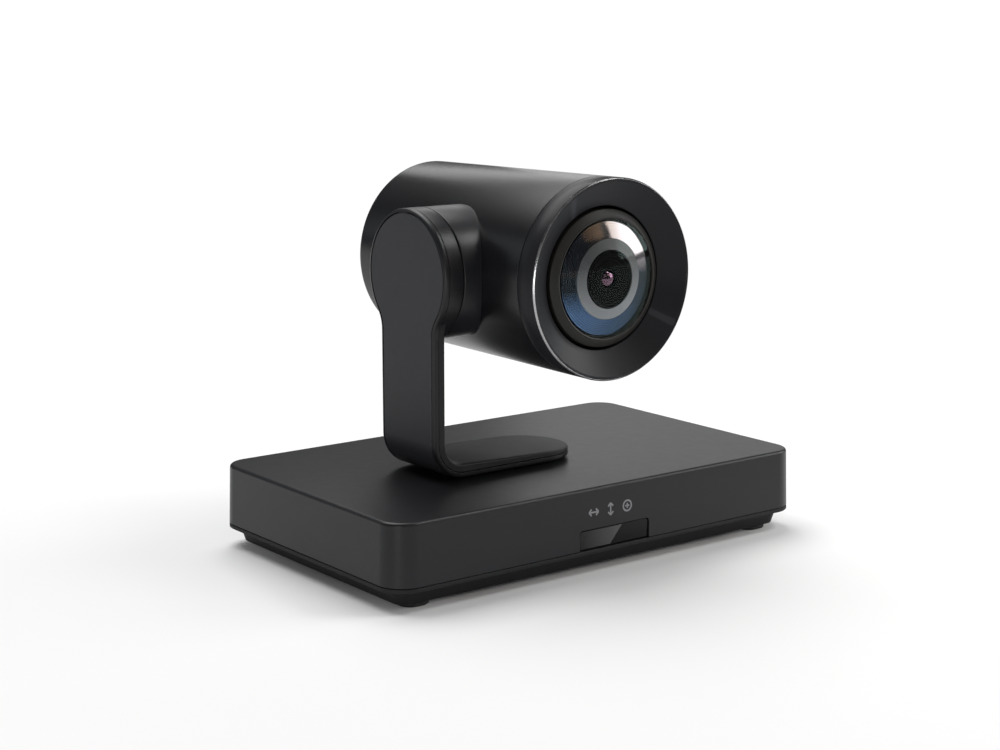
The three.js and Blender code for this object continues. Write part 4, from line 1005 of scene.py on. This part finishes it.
def add_inner_lens():
    """The pale ring, whose side below the lens axis carries painted light, and the grooved ring behind the
    front glass, the inner barrel and the pupil lens.
    """
    ring_in, ring_out = 13.3 * MM, 18.2 * MM
    rings = filleted([
        (ring_in, -62 * MM), (ring_in, -70.1 * MM), (ring_out, -69.1 * MM, 0.15 * MM), (ring_out, -62 * MM),
    ], 3)
    piece = lathe("lens_inner_ring", rings, "Y", HEAD_AXIS, 128)
    settle(piece, "head", ["inner_ring"])
    count = 9
    start, end = 18.4 * MM, 25.4 * MM
    front, back = -68.6 * MM, -66.6 * MM
    pitch = (end - start) / count
    outline = [(start, -64.2 * MM)]
    for i in range(count):
        radius = start + i * pitch
        y = front + (back - front) * i / count
        outline += [(radius, y), (radius + 0.8 * pitch, y + 0.1 * MM), (radius + 0.85 * pitch, y + 0.45 * MM)]
    outline += [(end, back), (end, -64.2 * MM)]
    piece = lathe("lens_groove_ring", outline, "Y", HEAD_AXIS, 128)
    settle(piece, "head", ["groove_ring"])
    barrel = filleted([
        (4.4 * MM, -62 * MM), (4.4 * MM, -69.6 * MM, 0.1 * MM), (5.2 * MM, -69.9 * MM),
        (7.6 * MM, -69.8 * MM),
        (7.7 * MM, -70.1 * MM, 0.1 * MM), (8.6 * MM, -70.05 * MM),
        (8.8 * MM, -69.8 * MM), (10.4 * MM, -69.9 * MM),
        (10.5 * MM, -70.2 * MM, 0.1 * MM), (11.3 * MM, -70.15 * MM),
        (11.5 * MM, -69.9 * MM), (12.2 * MM, -70.1 * MM),
        (12.5 * MM, -70.3 * MM, 0.1 * MM), (12.9 * MM, -70.2 * MM, 0.1 * MM), (13.0 * MM, -62 * MM),
    ], 3)
    piece = lathe("lens_baffle_barrel", barrel, "Y", HEAD_AXIS, 128)
    settle(piece, "head", ["inner_barrel"], ["lens_baffle"])
    steps = 12
    size, bulge = 4.3 * MM, 3.2 * MM
    quarter = [math.pi / 2 * k / steps for k in range(steps + 1)]
    curve = [(size * math.sin(a), -67.0 * MM - bulge * math.cos(a)) for a in quarter]
    pupil = curve + [(size, -66.0 * MM), (0, -66.0 * MM)]
    piece = lathe("pupil_lens", pupil, "Y", HEAD_AXIS, 64)
    settle(piece, "head", ["glass_violet"], ["second_lens"])
    well = [(0, -65.0 * MM), (4.3 * MM, -65.0 * MM), (4.3 * MM, -64.4 * MM), (0, -64.4 * MM)]
    settle(lathe("pupil_well", well, "Y", HEAD_AXIS, 64), "head", ["inner_barrel"])


def add_coated_element():
    """A coated element close behind the front glass, over the grooved ring, whose coating carries reflections
    painted by place.
    """
    steps = 10
    start, end = 18.35 * MM, 25.6 * MM
    radii = [start + (end - start) * i / steps for i in range(steps + 1)]
    front = [(r, dome(r, 1.55 * MM)) for r in radii]
    back = [(r, y + 0.2 * MM) for r, y in reversed(front)]
    piece = lathe("coated_element", front + back, "Y", HEAD_AXIS, 128)
    settle(piece, "head", ["glass_painted_reflection"])


# ---- sockets ----------------------------------------------------------------------------------------
def add_contacts():
    """Contacts and pins inside the rear sockets."""
    lan_low, lan_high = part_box("lan_port")
    middle = (lan_low.x + lan_high.x) / 2
    for i in range(8):
        x = middle + (i - 3.5) * 1.02 * MM
        contact = rect_slab(
            f"lan_contact_{i + 1}", (x - 0.2 * MM, lan_high.y - 11 * MM, lan_low.z + 2.4 * MM),
            (x + 0.2 * MM, lan_high.y - 3 * MM, lan_low.z + 3.3 * MM), "Y", 0.15 * MM, 0.1 * MM, 2,
        )
        settle(contact, "base", ["gold"])
    din_low, din_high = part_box("serial_port")
    centre = ((din_low.x + din_high.x) / 2, (din_low.z + din_high.z) / 2)
    for i in range(8):
        angle = math.radians(-60 + 300 * i / 7) + math.pi / 2
        pin_centre = (centre[0] + 2.6 * MM * math.cos(angle), centre[1] + 2.6 * MM * math.sin(angle))
        profile = filleted([(0, din_high.y - 8.2 * MM), (0.35 * MM, din_high.y - 8.2 * MM),
                            (0.35 * MM, din_high.y - 2.5 * MM, 0.2 * MM), (0, din_high.y - 2.5 * MM)], 2)
        settle(lathe(f"serial_pin_{i + 1}", profile, "Y", pin_centre, 12), "base", ["gold"])


# ---- carried-over CAD nodes -------------------------------------------------------------------------
CARRIED = {
    "board": ("ir_board", "main_board", "sensor_board", "head_board"),
    "chip": ("ir_receiver", "image_sensor"),
    "lamp": ("status_led",),
    "aluminium": ("heat_sink", "pan_shaft"),
    "port_black": ("dc_jack", "serial_port", "lens_housing", "zoom_carrier", "focus_carrier"),
    "steel": ("usb_port", "hdmi_port", "lan_port", "pan_deck", "pan_motor", "tilt_shaft", "tilt_motor",
              "guide_rod_left", "guide_rod_right"),
    "dark_steel": ("case_screw_1", "case_screw_2", "case_screw_3", "case_screw_4"),
    "acetal": ("pan_bush", "pan_gear", "tilt_gear", "tilt_bush"),
    "brass": ("tripod_insert", "pan_pinion", "tilt_pinion", "zoom_drive_coil", "focus_drive_coil"),
    "ribbon": ("arm_ribbon_cable",),
    "glass_clear": ("zoom_lens", "focus_lens", "ir_cut_filter"),
}


def dress_nodes():
    for key, names in CARRIED.items():
        for name in names:
            for holder in NODES[name].material_slots:
                holder.material = MATERIALS[key]


# ---- studio -----------------------------------------------------------------------------------------
def add_area(name, place, target, size, power, colour=(1, 1, 1)):
    lamp = bpy.data.lights.new(name, "AREA")
    lamp.shape = "RECTANGLE"
    lamp.size, lamp.size_y = size
    lamp.energy = power
    lamp.color = colour
    light = bpy.data.objects.new(name, lamp)
    light.location = place
    light.rotation_euler = (Vector(target) - Vector(place)).to_track_quat("-Z", "Y").to_euler()
    light.visible_camera = False
    bpy.context.scene.collection.objects.link(light)
    return light


def add_floor():
    """A pale floor that turns even and bright a little way out from the object."""
    half = 6.0
    corners = [(-half, -half, 0), (half, -half, 0), (half, half, 0), (-half, half, 0)]
    floor = make_object("floor", corners, [(0, 1, 2, 3)])
    n = Nodes("floor_pale")
    n.finish(Base_Color=grey(0.82), Roughness=0.9, Specular_IOR_Level=0.1)
    length = n.add("ShaderNodeVectorMath", operation="LENGTH")
    n.feed(length.inputs[0], n.places)
    away = n.spread(length.outputs["Value"], 0.0, 1.0, 0.10, 0.50)
    bright = n.add("ShaderNodeEmission", Color=grey(1.0), Strength=1.02)
    mix = n.add("ShaderNodeMixShader")
    n.feed(mix.inputs[0], away)
    n.feed(mix.inputs[1], n.shader.outputs[0])
    n.feed(mix.inputs[2], bright.outputs[0])
    n.feed(n.output.inputs["Surface"], mix.outputs[0])
    floor.data.materials.append(n.material)


def add_world():
    world = bpy.data.worlds.new("studio_world")
    world.use_nodes = True
    tree = world.node_tree
    shown = tree.nodes["Background"]
    shown.inputs["Color"].default_value = grey(1.0)
    shown.inputs["Strength"].default_value = 1.02
    lighting = tree.nodes.new("ShaderNodeBackground")
    lighting.inputs["Color"].default_value = grey(1.0)
    lighting.inputs["Strength"].default_value = 0.06
    path = tree.nodes.new("ShaderNodeLightPath")
    mix = tree.nodes.new("ShaderNodeMixShader")
    tree.links.new(path.outputs["Is Camera Ray"], mix.inputs[0])
    tree.links.new(lighting.outputs[0], mix.inputs[1])
    tree.links.new(shown.outputs[0], mix.inputs[2])
    tree.links.new(mix.outputs[0], tree.nodes["World Output"].inputs["Surface"])
    bpy.context.scene.world = world


def add_studio():
    add_floor()
    add_world()
    middle = (0, 0, 0.09)
    lens = (0, -0.07, 0.133)
    add_area("overhead_panel", (-0.05, 0.52, 1.26), middle, (1.4, 0.9), 20)
    add_area("right_softbox", (0.777, -0.449, 0.381), lens, (0.62, 0.45), 4.2)
    add_area("hub_softbox", (0.50, -0.40, 0.88), lens, (0.30, 0.22), 2.6)
    add_area("front_warm_panel", (0.44, -0.86, 0.60), lens, (0.30, 0.40), 0.45, (1.0, 0.80, 0.62))
    add_area("front_fill", (-0.35, -1.40, 0.85), middle, (0.9, 0.7), 1.4)
    add_area("left_strip", (-0.84, -0.62, 0.13), (-0.12, -0.07, 0.02), (0.05, 0.25), 1.3)
    add_area("back_right_panel", (0.62, 0.42, 0.28), (0.05, 0.0, 0.05), (0.5, 0.3), 0.42)
    add_area("back_left_panel", (-0.75, 0.95, 0.50), (0, 0, 0.1), (0.5, 0.4), 0.4, (0.85, 0.92, 1.0))
    add_area("barrel_panel", (0.33, 0.56, 0.46), (0, 0, 0.178), (0.34, 0.17), 0.33)
    view = bpy.context.scene.view_settings
    view.view_transform = "Standard"


add_camera()
add_studio()
add_base_housing()
add_base_plate()
add_feet()
add_window()
add_window_filter()
add_printed_mark()
add_arm_cover()
add_arm_shell()
add_arm_frame()
add_head_shell()
add_tilt_hub()
add_front_bezel()
add_lens_cell()
add_front_glass()
add_coated_element()
add_inner_lens()
add_contacts()
dress_nodes()
